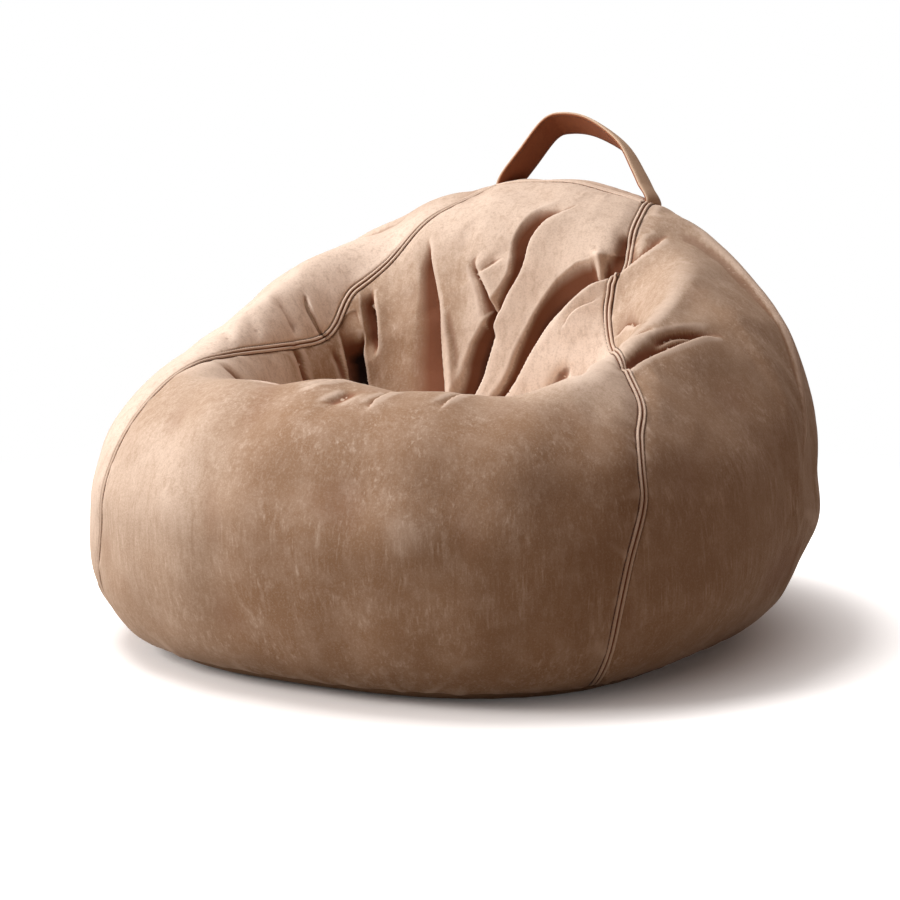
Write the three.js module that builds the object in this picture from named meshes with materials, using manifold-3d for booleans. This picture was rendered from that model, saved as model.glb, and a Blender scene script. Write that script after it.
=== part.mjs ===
// Bean bag chair: a leather cover sewn from panels over a liner full of beads, with a carrying strap sewn
// into the top of its side seams and a zip across its base.
// Millimetres, +Z up, the seat faces -Y, and the origin is on the floor under the middle of the bag.
import * as THREE from 'three';
import { mergeVertices } from 'three/addons/utils/BufferGeometryUtils.js';
import Module from 'manifold-3d';

const wasm = await Module();
wasm.setup();

// ---------------------------------------------------------------- driving dimensions
const HALF_WIDTH = 550;            // bag, middle to side
const POLE = { y: 15, z: 223 };    // where the two sides bulge the furthest
const SAG = 9;                     // the top leans this far to +X
const HEM_HEIGHT = 14;             // the base seam, above the floor
const RIDGE = 11.6;                // station of the seam along the top
const LEATHER = 2;                 // cover thickness
const LINER = 1.2;                 // liner thickness
const LAYER_GAP = 4.2;             // between cover, liner and fill
const SEAM_HALF = 4.6;             // half width of a topstitched seam
const SEAM_RISE = 2.2;             // its two ribs stand this far out of the leather
const SEAM_DEPTH = 1;              // and reach this far into it
const SEAM_CLEAR = 2.2;            // between a seam and the panels beside it
const CROSSING = SEAM_HALF + SEAM_CLEAR;

const FRONT_ROWS = 21;             // facets of the panels, along and across
const BACK_ROWS = 7;
const SIDE_ROWS = 8;
const ACROSS = 10;
const BEND_WEIGHT = 130;           // a turn of one radian draws as many facets as this many millimetres
const BASE_MIDDLE = 18.5;          // station in the middle of the base
const BASE_TURN = [[24, 4], [60, 0]];  // the base turns down to the floor: [in from its seam, height]
const FAR = 800;                   // beyond the whole bag

const ZIP_HALF = 288;              // half length of the row of teeth
const SLOT_HALF = 12;              // half width of the zip's slot in the base
const FOLD_TOP = 9;                // height of the leather folded up beside the slot
const TAPE_Z = [9.5, 10.3];
const TOOTH_PITCH = 9;
const TOOTH_Z = [8.2, 11.2];
const SLIDER_X = ZIP_HALF + 4;
const BAIL = { x: -0.5, z: 3.85 };     // axis of the pull tab, from the slider's middle
const TAB_THICK = 1.3;
const CHANNEL_HALF = 34;           // half width of the hollow in the liner and fill over the zip
const CHANNEL_TOP = 15;

const STRAP_WIDTH = 54;
const STRAP_THICK = 3;             // outer leather of the handle
const LINING_THICK = 1.8;          // its dark lining
const STRAP_LEAN = 27;             // degrees back from upright
const STRAP_TURN = [-14, 11];      // degrees the strap is turned about its own length, left leg and right leg
const ROOT_HEIGHT = 30;            // sewn-in root, below the part of the strap that swings
const ROOT_STATION = 11.9;         // station of the root's middle
const ROOT_STATION_LENGTH = 105;   // millimetres of the side seam along one station there
const ROOT_LIFT = 3;               // the root leaves the seam this far above the leather
const ROOT_GAP = 1;                // between the root and the part that swings

const LEATHER_TAN = { color: 0xb08f72, roughness: 0.78 };
const LEATHER_BROWN = { color: 0x6b4634, roughness: 0.7 };

// ---------------------------------------------------------------- form of the bag
// One loop of [y, z] stations runs up the front, over the rim, through the seat, up the backrest, over the
// ridge, down the back and along the base. The first loop is the bag's middle, the second its arms.
const MIDDLE = [
  [-565, 221], [-543, 319], [-492, 392], [-405, 428], [-315, 405], [-235, 335], [-140, 262], [-30, 258],
  [55, 345], [115, 490], [175, 615], [250, 670], [350, 685], [457, 600], [558, 424], [550, 217], [491, 115],
  [372, 46], [140, -60], [-130, -60], [-383, -28], [-513, 54],
];
const ARMS = [
  MIDDLE[0], [-543, 324], [-500, 388], [-425, 445], [-335, 489], [-240, 524], [-140, 565], [-40, 605],
  [50, 636], [118, 672], [204, 678], [295, 676], [345, 691], [475, 560], ...MIDDLE.slice(14),
];
const STATIONS = MIDDLE.length;
// Where the side seams lie at each station, as a share of the half width.
const SEAM_RIGHT = [
  0.81, 0.815, 0.797, 0.767, 0.735, 0.66, 0.565, 0.523, 0.455, 0.37, 0.372,
  0.352, 0.335, 0.39, 0.45, 0.51, 0.525, 0.49, 0.46, 0.51, 0.68, 0.775,
];
const SEAM_LEFT = [
  0.665, 0.635, 0.61, 0.58, 0.547, 0.537, 0.523, 0.503, 0.473, 0.455, 0.355,
  0.255, 0.155, 0.27, 0.40, 0.48, 0.51, 0.48, 0.46, 0.50, 0.66, 0.73,
];

const clamp01 = (v) => Math.min(Math.max(v, 0), 1);
const mix = (a, b, t) => a + (b - a) * t;
const range = (n, from = 0, to = 1) => Array.from({ length: n + 1 }, (_, i) => mix(from, to, i / n));
const ease = (v, from, to) => {
  const t = clamp01((v - from) / (to - from));
  return t * t * (3 - 2 * t);
};

// A smooth closed run through a ring of numbers; k counts along the ring.
function around(values, k) {
  const n = values.length;
  const i = Math.floor(k);
  const f = k - i;
  const [a, b, c, d] = [-1, 0, 1, 2].map((j) => values[(((i + j) % n) + n) % n]);
  return 0.5 * (2 * b + (c - a) * f + (2 * a - 5 * b + 4 * c - d) * f * f + (3 * b - a - 3 * c + d) * f ** 3);
}
const column = (loop, axis) => loop.map((station) => station[axis]);
const LOOPS = {
  midY: column(MIDDLE, 0), midZ: column(MIDDLE, 1), armY: column(ARMS, 0), armZ: column(ARMS, 1),
};

// The cover's outer face at station k, a share u of the half width across. The seat is pressed in between the
// arms, the sides close in an ellipse, squarer near the floor and fuller at the top, and the floor flattens it.
function cover(k, u) {
  const w = Math.abs(u);
  const press = 1 - ease(w, 0.32, 0.64);
  const loopY = mix(around(LOOPS.armY, k), around(LOOPS.midY, k), press);
  const loopZ = mix(around(LOOPS.armZ, k), around(LOOPS.midZ, k), press);
  const high = ease(loopZ, 350, 620);
  const low = ease(-loopZ, -370, 32);
  const body = Math.sqrt(clamp01(1 - w ** 2.23));
  const box = clamp01(1 - w ** 2.72) ** (1 / 2.3);
  const top = body * (1 - 0.085 * clamp01(4 * w * w * (1 - w * w)) ** 1.2);
  const y = POLE.y + (loopY - POLE.y) * mix(body, box, low);
  const raw = POLE.z + (loopZ - POLE.z) * (body * (1 - high - low) + top * high + box * low);
  const soft = 18;
  const z = raw < soft * 20 ? soft * Math.log1p(Math.exp(raw / soft)) : raw;
  return new THREE.Vector3(HALF_WIDTH * u + SAG * ease(z, 300, 640), y, z);
}

function bisect(height, from, to) {
  let [lo, hi] = [from, to];
  for (let i = 0; i < 40; i++) {
    const middle = (lo + hi) / 2;
    if (height(middle) > 0) hi = middle;
    else lo = middle;
  }
  return (lo + hi) / 2;
}

const seamAt = (k, side) => side * around(side > 0 ? SEAM_RIGHT : SEAM_LEFT, k);
// A line of the front and back panels: v runs from -1 at the left seam to 1 at the right seam.
const lineAt = (k, v) => [k, mix(seamAt(k, -1), seamAt(k, 1), (v + 1) / 2)];

// Near a side pole the stations crowd together, so a side is also read from a disc that faces it: the bearing
// is each station's own, seen from the pole, and the side seam lies on the disc's rim.
const BEARINGS = ARMS.map(([y, z]) => Math.atan2(z - POLE.z, y - POLE.y));
for (let i = 1; i < STATIONS; i++) while (BEARINGS[i] > BEARINGS[i - 1]) BEARINGS[i] -= 2 * Math.PI;
function bearingOf(k) {
  const whole = Math.floor(k);
  const at = (i) => {
    const turns = Math.floor(i / STATIONS);
    return BEARINGS[i - turns * STATIONS] - 2 * Math.PI * turns;
  };
  return mix(at(whole), at(whole + 1), k - whole);
}
const stationOf = (bearing) => bisect((k) => bearing - bearingOf(k), -5, STATIONS - 2.5);
const rimOf = (k, side) => Math.sqrt(1 - seamAt(k, side) ** 2);
const toDisc = ([k, u]) => {
  const r = Math.sqrt(1 - u * u) / rimOf(k, Math.sign(u));
  return [r * Math.cos(bearingOf(k)), r * Math.sin(bearingOf(k))];
};
function fromDisc([a, b], side) {
  let bearing = Math.atan2(b, a);
  while (bearing > bearingOf(-4)) bearing -= 2 * Math.PI;
  while (bearing < bearingOf(STATIONS - 4)) bearing += 2 * Math.PI;
  const k = stationOf(bearing);
  return [k, side * Math.sqrt(clamp01(1 - (a * a + b * b) * rimOf(k, side) ** 2))];
}

// Outward normal of the cover. Stations and shares, and the disc's two axes, keep one hand all round.
function normal([k, u]) {
  const step = 0.012;
  const byStation = Math.abs(u) < 0.88;
  const [a, b] = toDisc([k, u]);
  const p = byStation ? [[k + step * 2, u], [k - step * 2, u], [k, u + step], [k, u - step]]
    : [[a + step, b], [a - step, b], [a, b + step], [a, b - step]].map((q) => fromDisc(q, Math.sign(u)));
  const [n, s, e, w] = p.map((q) => cover(...q));
  const out = e.sub(w).cross(n.sub(s)).normalize();
  return byStation || u < 0 ? out : out.negate();
}

// Where a panel line comes down to the base seam, in front and behind.
const hemStation = (v, low, high) => bisect((k) => cover(...lineAt(k, v)).z - HEM_HEIGHT, low, high);

// ---------------------------------------------------------------- panels, as grids of [k, u]
// Splits a line of the cover from one station to another, closer where it bends.
function split(v, from, to, count) {
  const stations = range(160, from, to);
  const points = stations.map((k) => cover(...lineAt(k, v)));
  const measure = [0];
  for (let i = 1; i < points.length; i++) {
    const step = points[i].clone().sub(points[i - 1]);
    const next = points[Math.min(i + 1, points.length - 1)].clone().sub(points[i]);
    const bend = next.length() ? step.angleTo(next) : 0;
    measure.push(measure[i - 1] + step.length() + BEND_WEIGHT * bend);
  }
  return range(count, 0, measure[160]).map((m) => {
    const i = Math.min(Math.max(measure.findIndex((v2) => v2 >= m), 1), 160);
    return mix(stations[i - 1], stations[i], clamp01((m - measure[i - 1]) / (measure[i] - measure[i - 1])));
  });
}

const vs = range(ACROSS, -1, 1);
const panelGrid = (from, to, count) => vs.map((v) => split(v, from(v), to(v), count).map((k) => lineAt(k, v)));
const frontGrid = panelGrid((v) => hemStation(v, -3, -0.5), () => RIDGE, FRONT_ROWS);
const backGrid = panelGrid(() => RIDGE, (v) => hemStation(v, 18, 15), BACK_ROWS);

// The base seam beside each side panel, from its front corner to its back corner.
function sideHem(side, from, to, count) {
  const bearing = ([k, u]) => Math.atan2(Math.abs(u) / 0.8, (((k + STATIONS) % STATIONS) - BASE_MIDDLE) / 2);
  return range(count, bearing(from), bearing(to)).map((turn) => {
    const at = (r) => [BASE_MIDDLE + 2 * r * Math.cos(turn), side * 0.8 * r * Math.sin(turn)];
    return at(bisect((r) => cover(...at(r)).z - HEM_HEIGHT, 0.3, 1.15));
  });
}

function sideGrid(side) {
  const line = side < 0 ? 0 : ACROSS;
  const seam = [...frontGrid[line], ...backGrid[line].slice(1)];
  const hem = sideHem(side, seam[0], seam[seam.length - 1], seam.length - 1);
  // Rows lie closer together beside the seam and the hem, where the side turns the most.
  const rows = range(SIDE_ROWS).map((t) => mix(t, (1 - Math.cos(Math.PI * t)) / 2, 0.4));
  return seam.map((top, i) => rows.map((t) => {
    const [a, b] = [toDisc(top), toDisc(hem[i])];
    if (t === 0) return top;
    return t === rows[SIDE_ROWS] ? hem[i] : fromDisc([mix(a[0], b[0], t), mix(a[1], b[1], t)], side);
  }));
}
const leftGrid = sideGrid(-1);
const rightGrid = sideGrid(1);

// The whole base seam as one ring: front, right side, back, left side.
const last = (list) => list[list.length - 1];
const hemRing = [
  ...frontGrid.map((line) => line[0]),
  ...rightGrid.slice(1, -1).map(last),
  ...backGrid.map(last).reverse(),
  ...leftGrid.slice(1, -1).map(last).reverse(),
];

// ---------------------------------------------------------------- solids from grids
const pointAt = (at, depth) => cover(...at).addScaledVector(normal(at), -depth);

// A closed mesh from lists of corners; equal corners are joined and flat triangles dropped.
function closedMesh(triangles) {
  const index = new Map();
  const positions = [];
  const faces = [];
  const keyOf = (p) => `${p.x.toFixed(3)},${p.y.toFixed(3)},${p.z.toFixed(3)}`;
  let volume = 0;
  for (const corners of triangles) {
    const ids = corners.map((p) => {
      const key = keyOf(p);
      if (!index.has(key)) {
        index.set(key, positions.length / 3);
        positions.push(p.x, p.y, p.z);
      }
      return index.get(key);
    });
    if (new Set(ids).size < 3) continue;
    faces.push(...ids);
    volume += corners[0].dot(corners[1].clone().cross(corners[2]));
  }
  if (volume < 0) for (let i = 0; i < faces.length; i += 3) [faces[i], faces[i + 1]] = [faces[i + 1], faces[i]];
  const geometry = new THREE.BufferGeometry();
  geometry.setAttribute('position', new THREE.Float32BufferAttribute(positions, 3));
  geometry.setIndex(faces);
  geometry.computeVertexNormals();
  return geometry;
}

const quad = (a, b, c, d) => [[a, b, c], [a, c, d]];
// Triangles over a grid of points, wound one way.
function sheet(grid, flip = false) {
  const out = [];
  for (let i = 0; i + 1 < grid.length; i++) {
    for (let j = 0; j + 1 < grid[i].length; j++) {
      const triangles = quad(grid[i][j], grid[i + 1][j], grid[i + 1][j + 1], grid[i][j + 1]);
      out.push(...(flip ? triangles.map((t) => t.reverse()) : triangles));
    }
  }
  return out;
}
// A solid between an outer and an inner grid of the same size, closed round its rim.
function plate(outer, inner) {
  const outline = (grid) => [
    ...grid.map((line) => line[0]), ...last(grid).slice(1),
    ...grid.slice(0, -1).reverse().map(last), ...grid[0].slice(1, -1).reverse(), grid[0][0],
  ];
  return closedMesh([...sheet(outer), ...sheet(inner, true), ...sheet([outline(outer), outline(inner)])]);
}

// How far along a line its end moves to lie CROSSING away from the seam that runs through it.
function slantedStep(before, after, at, inside) {
  const along = after.clone().sub(before).normalize();
  const way = inside.clone().sub(at).normalize();
  return CROSSING / way.addScaledVector(along, -way.dot(along)).length();
}
// A line of points with its ends drawn back by two lengths; points too close to an end are pushed along it.
function shorten(line, first, final) {
  const run = [0];
  for (let i = 1; i < line.length; i++) run.push(run[i - 1] + line[i].distanceTo(line[i - 1]));
  const whole = last(run);
  return run.map((s) => {
    const left = whole - s;
    const target = s < left ? Math.max(s, first + 0.35 * s) : whole - Math.max(left, final + 0.35 * left);
    const i = Math.min(Math.max(run.findIndex((r) => r >= target), 1), line.length - 1);
    return line[i - 1].clone().lerp(line[i], (target - run[i - 1]) / (run[i] - run[i - 1]));
  });
}

// A panel's points at a depth, with every edge drawn back from the seam line beside it.
function panelPoints(grid, depth) {
  const points = grid.map((line) => line.map((at) => pointAt(at, depth)));
  const [m, n] = [grid.length - 1, grid[0].length - 1];
  const shrunk = points[0][0].distanceTo(points[0][n]) < 1;
  const drawn = points.map((line, i) => {
    const [before, after] = [points[Math.max(i - 1, 0)], points[Math.min(i + 1, m)]];
    if (shrunk && (i === 0 || i === m)) {
      // The line has shrunk to a corner: it is drawn back from both edges that meet there.
      const [corner, next] = [line[0], points[i === 0 ? 1 : m - 1]];
      const ways = [[0, n], [n, 0]].map(([edge, other]) => next[other].clone().sub(corner)
        .setLength(slantedStep(corner, next[edge], corner, next[other])));
      return line.map(() => corner.clone().add(ways[0]).add(ways[1]));
    }
    const first = slantedStep(before[0], after[0], line[0], line[1]);
    return shorten(line, first, slantedStep(before[n], after[n], line[n], line[n - 1]));
  });
  if (shrunk) return drawn;
  const sides = drawn[0].map((_, j) => {
    const [j0, j1] = [Math.max(j - 1, 0), Math.min(j + 1, n)];
    return shorten(drawn.map((line) => line[j]),
      slantedStep(points[0][j0], points[0][j1], points[0][j], points[1][j]),
      slantedStep(points[m][j0], points[m][j1], points[m][j], points[m - 1][j]));
  });
  return drawn.map((line, i) => line.map((_, j) => sides[j][i]));
}
const coverPanel = (grid) => plate(panelPoints(grid, 0), panelPoints(grid, LEATHER));

// ---------------------------------------------------------------- topstitched seams
// Section of a seam: a narrow ditch between two raised ribs, [across, out of the leather].
const RIBBED = [
  [-1, -SEAM_DEPTH], [-1, 0.6], [-0.5, SEAM_RISE], [0, 0.2], [0.5, SEAM_RISE], [1, 0.6], [1, -SEAM_DEPTH],
];
// Section of the base seam: a plain piped cord.
const PIPED = [[-1, -SEAM_DEPTH], [-1, 0.4], [0, 1.6], [1, 0.4], [1, -SEAM_DEPTH]];

// A seam along a line of [k, u] stations, or a ring of them.
function seam(line, section, ring = false, trim = [0, 0]) {
  const count = line.length;
  const pick = (i) => line[ring ? (i + count) % count : Math.min(Math.max(i, 0), count - 1)];
  const sections = line.map((at, i) => {
    const along = cover(...pick(i + 1)).sub(cover(...pick(i - 1))).normalize();
    const out = normal(at);
    const across = along.clone().cross(out).normalize();
    const shift = ring ? 0 : i === 0 ? trim[0] : i === count - 1 ? -trim[1] : 0;
    return section.map(([a, h]) => cover(...at).addScaledVector(along, shift)
      .addScaledVector(across, a * SEAM_HALF).addScaledVector(out, h));
  });
  const closed = sections.map((s) => [...s, s[0]]);
  if (ring) return closedMesh(sheet([...closed, closed[0]]));
  const cap = (s) => s.slice(1, -1).map((p, i) => [s[0], p, s[i + 2]]);
  return closedMesh([...sheet(closed), ...cap(sections[0]), ...cap(last(sections)).map((t) => t.reverse())]);
}

// ---------------------------------------------------------------- cutting and joining
function toManifold(geometry) {
  const plain = geometry.clone();
  plain.deleteAttribute('normal');
  plain.deleteAttribute('uv');
  const merged = mergeVertices(plain, 1e-4);
  return new wasm.Manifold(new wasm.Mesh({
    numProp: 3, vertProperties: new Float32Array(merged.attributes.position.array),
    triVerts: new Uint32Array(merged.index.array),
  }));
}
function toGeometry(manifold) {
  const mesh = manifold.getMesh();
  const geometry = new THREE.BufferGeometry();
  geometry.setAttribute('position', new THREE.Float32BufferAttribute(mesh.vertProperties, 3));
  geometry.setIndex([...mesh.triVerts]);
  geometry.computeVertexNormals();
  return geometry;
}
// A box between two corners.
function block([x0, y0, z0], [x1, y1, z1]) {
  return new THREE.BoxGeometry(x1 - x0, y1 - y0, z1 - z0)
    .translate((x0 + x1) / 2, (y0 + y1) / 2, (z0 + z1) / 2);
}
const solid = (from, to) => toManifold(block(from, to));

// ---------------------------------------------------------------- base and zip
const ringPoints = hemRing.map((at) => cover(...at));
const ZIP_Y = Math.round(ringPoints.reduce((sum, p) => sum + p.y, 0) / ringPoints.length);

// Rings of the base from its seam to its middle: it turns down to the floor and lies flat.
function baseRings(depth, trimmed) {
  const rings = [hemRing.map((at) => {
    const p = pointAt(at, depth);
    if (!trimmed) return p;
    const toMiddle = new THREE.Vector3(0, ZIP_Y, 0).sub(p).setZ(0).normalize();
    return p.addScaledVector(toMiddle, CROSSING * 0.93).setZ(p.z - CROSSING * 0.36);
  })];
  for (const [inset, z] of BASE_TURN) {
    rings.push(ringPoints.map((p) => {
      const toMiddle = new THREE.Vector3(0, ZIP_Y, 0).sub(p).setZ(0).normalize();
      return p.clone().addScaledVector(toMiddle, inset).setZ(z + depth);
    }));
  }
  return rings;
}
function baseSheet(depth, trimmed, flip) {
  const rings = baseRings(depth, trimmed).map((r) => [...r, r[0]]);
  const middle = new THREE.Vector3(0, ZIP_Y, depth);
  return [...sheet(rings, flip), ...sheet([last(rings), last(rings).map(() => middle)], flip)];
}
function baseDisc(outer, inner, trimmed) {
  const edge = [baseRings(inner, trimmed)[0], baseRings(outer, trimmed)[0]].map((r) => [...r, r[0]]);
  return closedMesh([...baseSheet(outer, trimmed, false), ...baseSheet(inner, trimmed, true), ...sheet(edge)]);
}
const slot = solid([-ZIP_HALF - 12, ZIP_Y - SLOT_HALF, -5], [ZIP_HALF + 12, ZIP_Y + SLOT_HALF, 20]);

// Half of the base, front or rear: its slot edge is folded up to carry the zip tape.
function baseHalf(side) {
  const y = (d) => ZIP_Y + side * d;
  const box = (d0, d1, z0, z1, half) => solid(
    [-half, Math.min(y(d0), y(d1)), z0], [half, Math.max(y(d0), y(d1)), z1],
  );
  const disc = toManifold(baseDisc(0, LEATHER, true));
  const fold = box(SLOT_HALF, SLOT_HALF + LEATHER, 0.4, FOLD_TOP, ZIP_HALF + 12);
  const half = disc.intersect(box(0.25, FAR, -10, 40, FAR)).subtract(slot).add(fold);
  return toGeometry(half);
}

// A row of zip teeth along a cord, standing just past the middle to mesh with the other row: one comb outline.
function toothRow(side) {
  const [tip, root, back, half] = [-1.9, 2.6, 3.9, 1.9];
  const comb = [[-ZIP_HALF, back], [-ZIP_HALF, root]];
  const count = Math.floor(2 * ZIP_HALF / TOOTH_PITCH) - 1;
  for (let i = 0; i < count; i++) {
    const x = -ZIP_HALF + TOOTH_PITCH * (i + (side > 0 ? 1 : 0.5));
    comb.push([x - half, root], [x - half + 0.3, tip], [x + half - 0.3, tip], [x + half, root]);
  }
  comb.push([ZIP_HALF, root], [ZIP_HALF, back]);
  const outline = new THREE.Shape(comb.map(([x, d]) => new THREE.Vector2(x, ZIP_Y + side * d)));
  const depth = TOOTH_Z[1] - TOOTH_Z[0];
  return new THREE.ExtrudeGeometry(outline, { depth, bevelEnabled: false }).translate(0, 0, TOOTH_Z[0]);
}

// The slider: two plates and the wedge between them that parts the rows, with flanges that hold the teeth in,
// and a bail below for the pull tab. It is built round x = 0 with its wedge at +X.
function sliderShape(z0, z1, grow = 0) {
  const outline = new THREE.Shape();
  const w = 7 + grow;
  outline.moveTo(-9, -w + 1.5);
  outline.quadraticCurveTo(-9, -w, -7, -w);
  outline.lineTo(6, -w - 0.8);
  outline.quadraticCurveTo(9, -w - 0.6, 9, -w + 2);
  outline.lineTo(9, w - 2);
  outline.quadraticCurveTo(9, w + 0.6, 6, w + 0.8);
  outline.lineTo(-7, w);
  outline.quadraticCurveTo(-9, w, -9, w - 1.5);
  outline.closePath();
  const options = { depth: z1 - z0, bevelEnabled: false, curveSegments: 4 };
  return toManifold(new THREE.ExtrudeGeometry(outline, options).translate(0, 0, z0));
}
function sliderBody() {
  const corners = [[9, -3.2], [9, 3.2], [4.5, 0.4], [4.5, -0.4]].map((p) => new THREE.Vector2(...p));
  const wedge = new THREE.ExtrudeGeometry(new THREE.Shape(corners), { depth: 7, bevelEnabled: false });
  const post = toManifold(wedge.translate(0, 0, 6.4));
  const channel = solid([-20, -6, 7.3], [20, 6, 20]);
  const lower = sliderShape(5.6, 8.7).subtract(channel);
  const upper = sliderShape(10.9, 13.6).subtract(solid([-20, -6, 0], [20, 6, 12.1]));
  // The bail is an arch under the plate; the near bar of the pull tab's ring turns inside it.
  const bail = solid([-4.5, -1.2, 1.3], [5.2, 1.2, 6]).subtract(solid([-2.8, -3, 2.5], [3.5, 3, 5.2]));
  return lower.add(upper).add(post).add(bail);
}
// The pull tab: a tapered plate with a ring at the bail and a grip window near its tip. The ring's near bar
// is at x = 0.
function pullTab() {
  const tab = new THREE.Shape();
  tab.moveTo(1, -3.4);
  tab.absarc(-27, 0, 4.6, -Math.PI / 2, Math.PI / 2, true);
  tab.lineTo(1, 3.4);
  const tabPlate = new THREE.ExtrudeGeometry(tab, { depth: TAB_THICK, bevelEnabled: false, curveSegments: 8 });
  const cut = toManifold(tabPlate)
    .subtract(solid([-7.6, -2, -1], [-1, 2, 3])).subtract(solid([-27, -1.9, -1], [-14, 1.9, 3]));
  return toGeometry(cut).translate(0, 0, -TAB_THICK / 2);
}

// ---------------------------------------------------------------- liner and fill
const linerOuter = LEATHER + LAYER_GAP;
const linerInner = linerOuter + LINER;
const fillDepth = linerInner + LAYER_GAP;

// All the upper panels as one skin at a depth.
const UPPER = [frontGrid, backGrid, leftGrid, rightGrid];
const TURNED = [false, false, false, true];    // the right side's grid runs the other way
function upperSheet(depth, flip) {
  return UPPER.flatMap((grid, g) => {
    const points = grid.map((line) => line.map((at) => pointAt(at, depth)));
    return sheet(points, TURNED[g] !== flip);
  });
}
function upperLiner() {
  const edges = [linerInner, linerOuter].map((d) => hemRing.map((at) => pointAt(at, d)));
  const edge = edges.map((r) => [...r, r[0]]);
  return closedMesh([...upperSheet(linerOuter, false), ...upperSheet(linerInner, true), ...sheet(edge, true)]);
}

// The liner's base, raised in a channel over the zip, and the fill with the same channel under it.
function raised(grow, top) {
  const [x, y] = [ZIP_HALF + 20 + grow, CHANNEL_HALF + grow];
  return solid([-x, ZIP_Y - y, -5], [x, ZIP_Y + y, top]);
}
function linerBase() {
  const shrink = (geometry, by) => {
    const at = geometry.attributes.position;
    for (let i = 0; i < at.count; i++) {
      const p = new THREE.Vector3().fromBufferAttribute(at, i);
      const toMiddle = new THREE.Vector3(0, ZIP_Y, p.z).sub(p).normalize();
      p.addScaledVector(toMiddle, by);
      at.setXYZ(i, p.x, p.y, p.z);
    }
    return geometry;
  };
  const disc = toManifold(shrink(baseDisc(linerOuter, linerInner, false), 1.2));
  const hat = raised(LINER, CHANNEL_TOP + LINER).subtract(solid([-FAR, -FAR, -FAR], [FAR, FAR, linerOuter]));
  return toGeometry(disc.add(hat).subtract(raised(0, CHANNEL_TOP)));
}
function beanFill() {
  const whole = closedMesh([...upperSheet(fillDepth, false), ...baseSheet(fillDepth, false, false)]);
  return toGeometry(toManifold(whole).subtract(raised(LINER + LAYER_GAP, CHANNEL_TOP + LINER + LAYER_GAP)));
}

// ---------------------------------------------------------------- handle
// The strap runs from seam to seam behind the ridge. Its arch stands in a plane that leans back.
const rootLeft = pointAt([ROOT_STATION, seamAt(ROOT_STATION, -1)], -ROOT_LIFT);
const rootRight = pointAt([ROOT_STATION, seamAt(ROOT_STATION, 1)], -ROOT_LIFT);
const span = rootRight.distanceTo(rootLeft);
const spanX = rootRight.clone().sub(rootLeft).normalize();
const lean = THREE.MathUtils.degToRad(STRAP_LEAN);
const spanUp = new THREE.Vector3(0, Math.sin(lean), Math.cos(lean));
spanUp.addScaledVector(spanX, -spanUp.dot(spanX)).normalize();
const spanFront = new THREE.Vector3().crossVectors(spanX, spanUp).normalize();
// Centre line of the strap in that plane: [along the span, up].
const ARCH = new THREE.SplineCurve([
  [0, 0], [20, 49], [44, 106], [73, 122], [123, 120], [189, 91], [233, 48], [span, 0],
].map((p) => new THREE.Vector2(...p)));
const archFrame = new THREE.Matrix4().makeBasis(spanX, spanUp, spanFront).setPosition(rootLeft);

// A point of the strap: a length along the arch, a distance across towards the front, and a depth below its
// outer face. The strap turns about its own length on the way.
const archLength = ARCH.getLength();
function strapPoint(length, across, depth) {
  const share = length / archLength;
  const p = ARCH.getPointAt(share);
  const along = ARCH.getTangentAt(share);
  const turn = THREE.MathUtils.degToRad(mix(...STRAP_TURN, ease(share, 0.3, 0.95)));
  const inward = depth * Math.cos(turn) + across * Math.sin(turn);
  const forward = across * Math.cos(turn) - depth * Math.sin(turn);
  return new THREE.Vector3(p.x + along.y * inward, p.y - along.x * inward, forward).applyMatrix4(archFrame);
}
const strapEdges = range(2, -STRAP_WIDTH / 2, STRAP_WIDTH / 2);
// One layer of the swinging part of the strap, between two depths.
function strap(near, far) {
  const lengths = range(18, ROOT_HEIGHT, archLength - ROOT_HEIGHT);
  const layer = (depth) => lengths.map((length) => (
    strapEdges.map((across) => strapPoint(length, across, depth))
  ));
  return plate(layer(near), layer(far));
}
// One layer of a root: it turns from the line of the side seam, where it is sewn in, to the strap's lower edge.
function root(side, near, far) {
  const end = side < 0 ? ROOT_HEIGHT - ROOT_GAP : archLength - ROOT_HEIGHT + ROOT_GAP;
  const layer = (depth) => strapEdges.map((across) => {
    const k = ROOT_STATION - across / ROOT_STATION_LENGTH;
    const at = [k, seamAt(k, side)];
    const sewn = pointAt(at, -ROOT_LIFT).addScaledVector(spanX, -side * depth);
    const top = strapPoint(end, across, depth);
    return range(3).map((t) => sewn.clone().lerp(top, t));
  });
  return plate(layer(near), layer(far));
}

// ---------------------------------------------------------------- the chair
const chair = new THREE.Group();
chair.name = 'bean_bag_chair';
function add(name, geometry, look) {
  const mesh = new THREE.Mesh(geometry, new THREE.MeshStandardMaterial({ metalness: 0, ...look }));
  mesh.name = name;
  chair.add(mesh);
  return mesh;
}

add('front_seat_panel', coverPanel(frontGrid), LEATHER_TAN);
add('back_panel', coverPanel(backGrid), LEATHER_TAN);
add('left_side_panel', coverPanel(leftGrid), LEATHER_TAN);
add('right_side_panel', coverPanel(rightGrid), LEATHER_TAN);
add('base_panel_front', baseHalf(-1), LEATHER_BROWN);
add('base_panel_rear', baseHalf(1), LEATHER_BROWN);

const ends = [CROSSING + 1, CROSSING + 1];
for (const [name, grid] of [['left_seam', leftGrid], ['right_seam', rightGrid], ['ridge_seam', backGrid]]) {
  add(name, seam(grid.map((line) => line[0]), RIBBED, false, ends), LEATHER_TAN);
}
add('base_piping', seam(hemRing, PIPED, true), LEATHER_BROWN);

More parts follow.
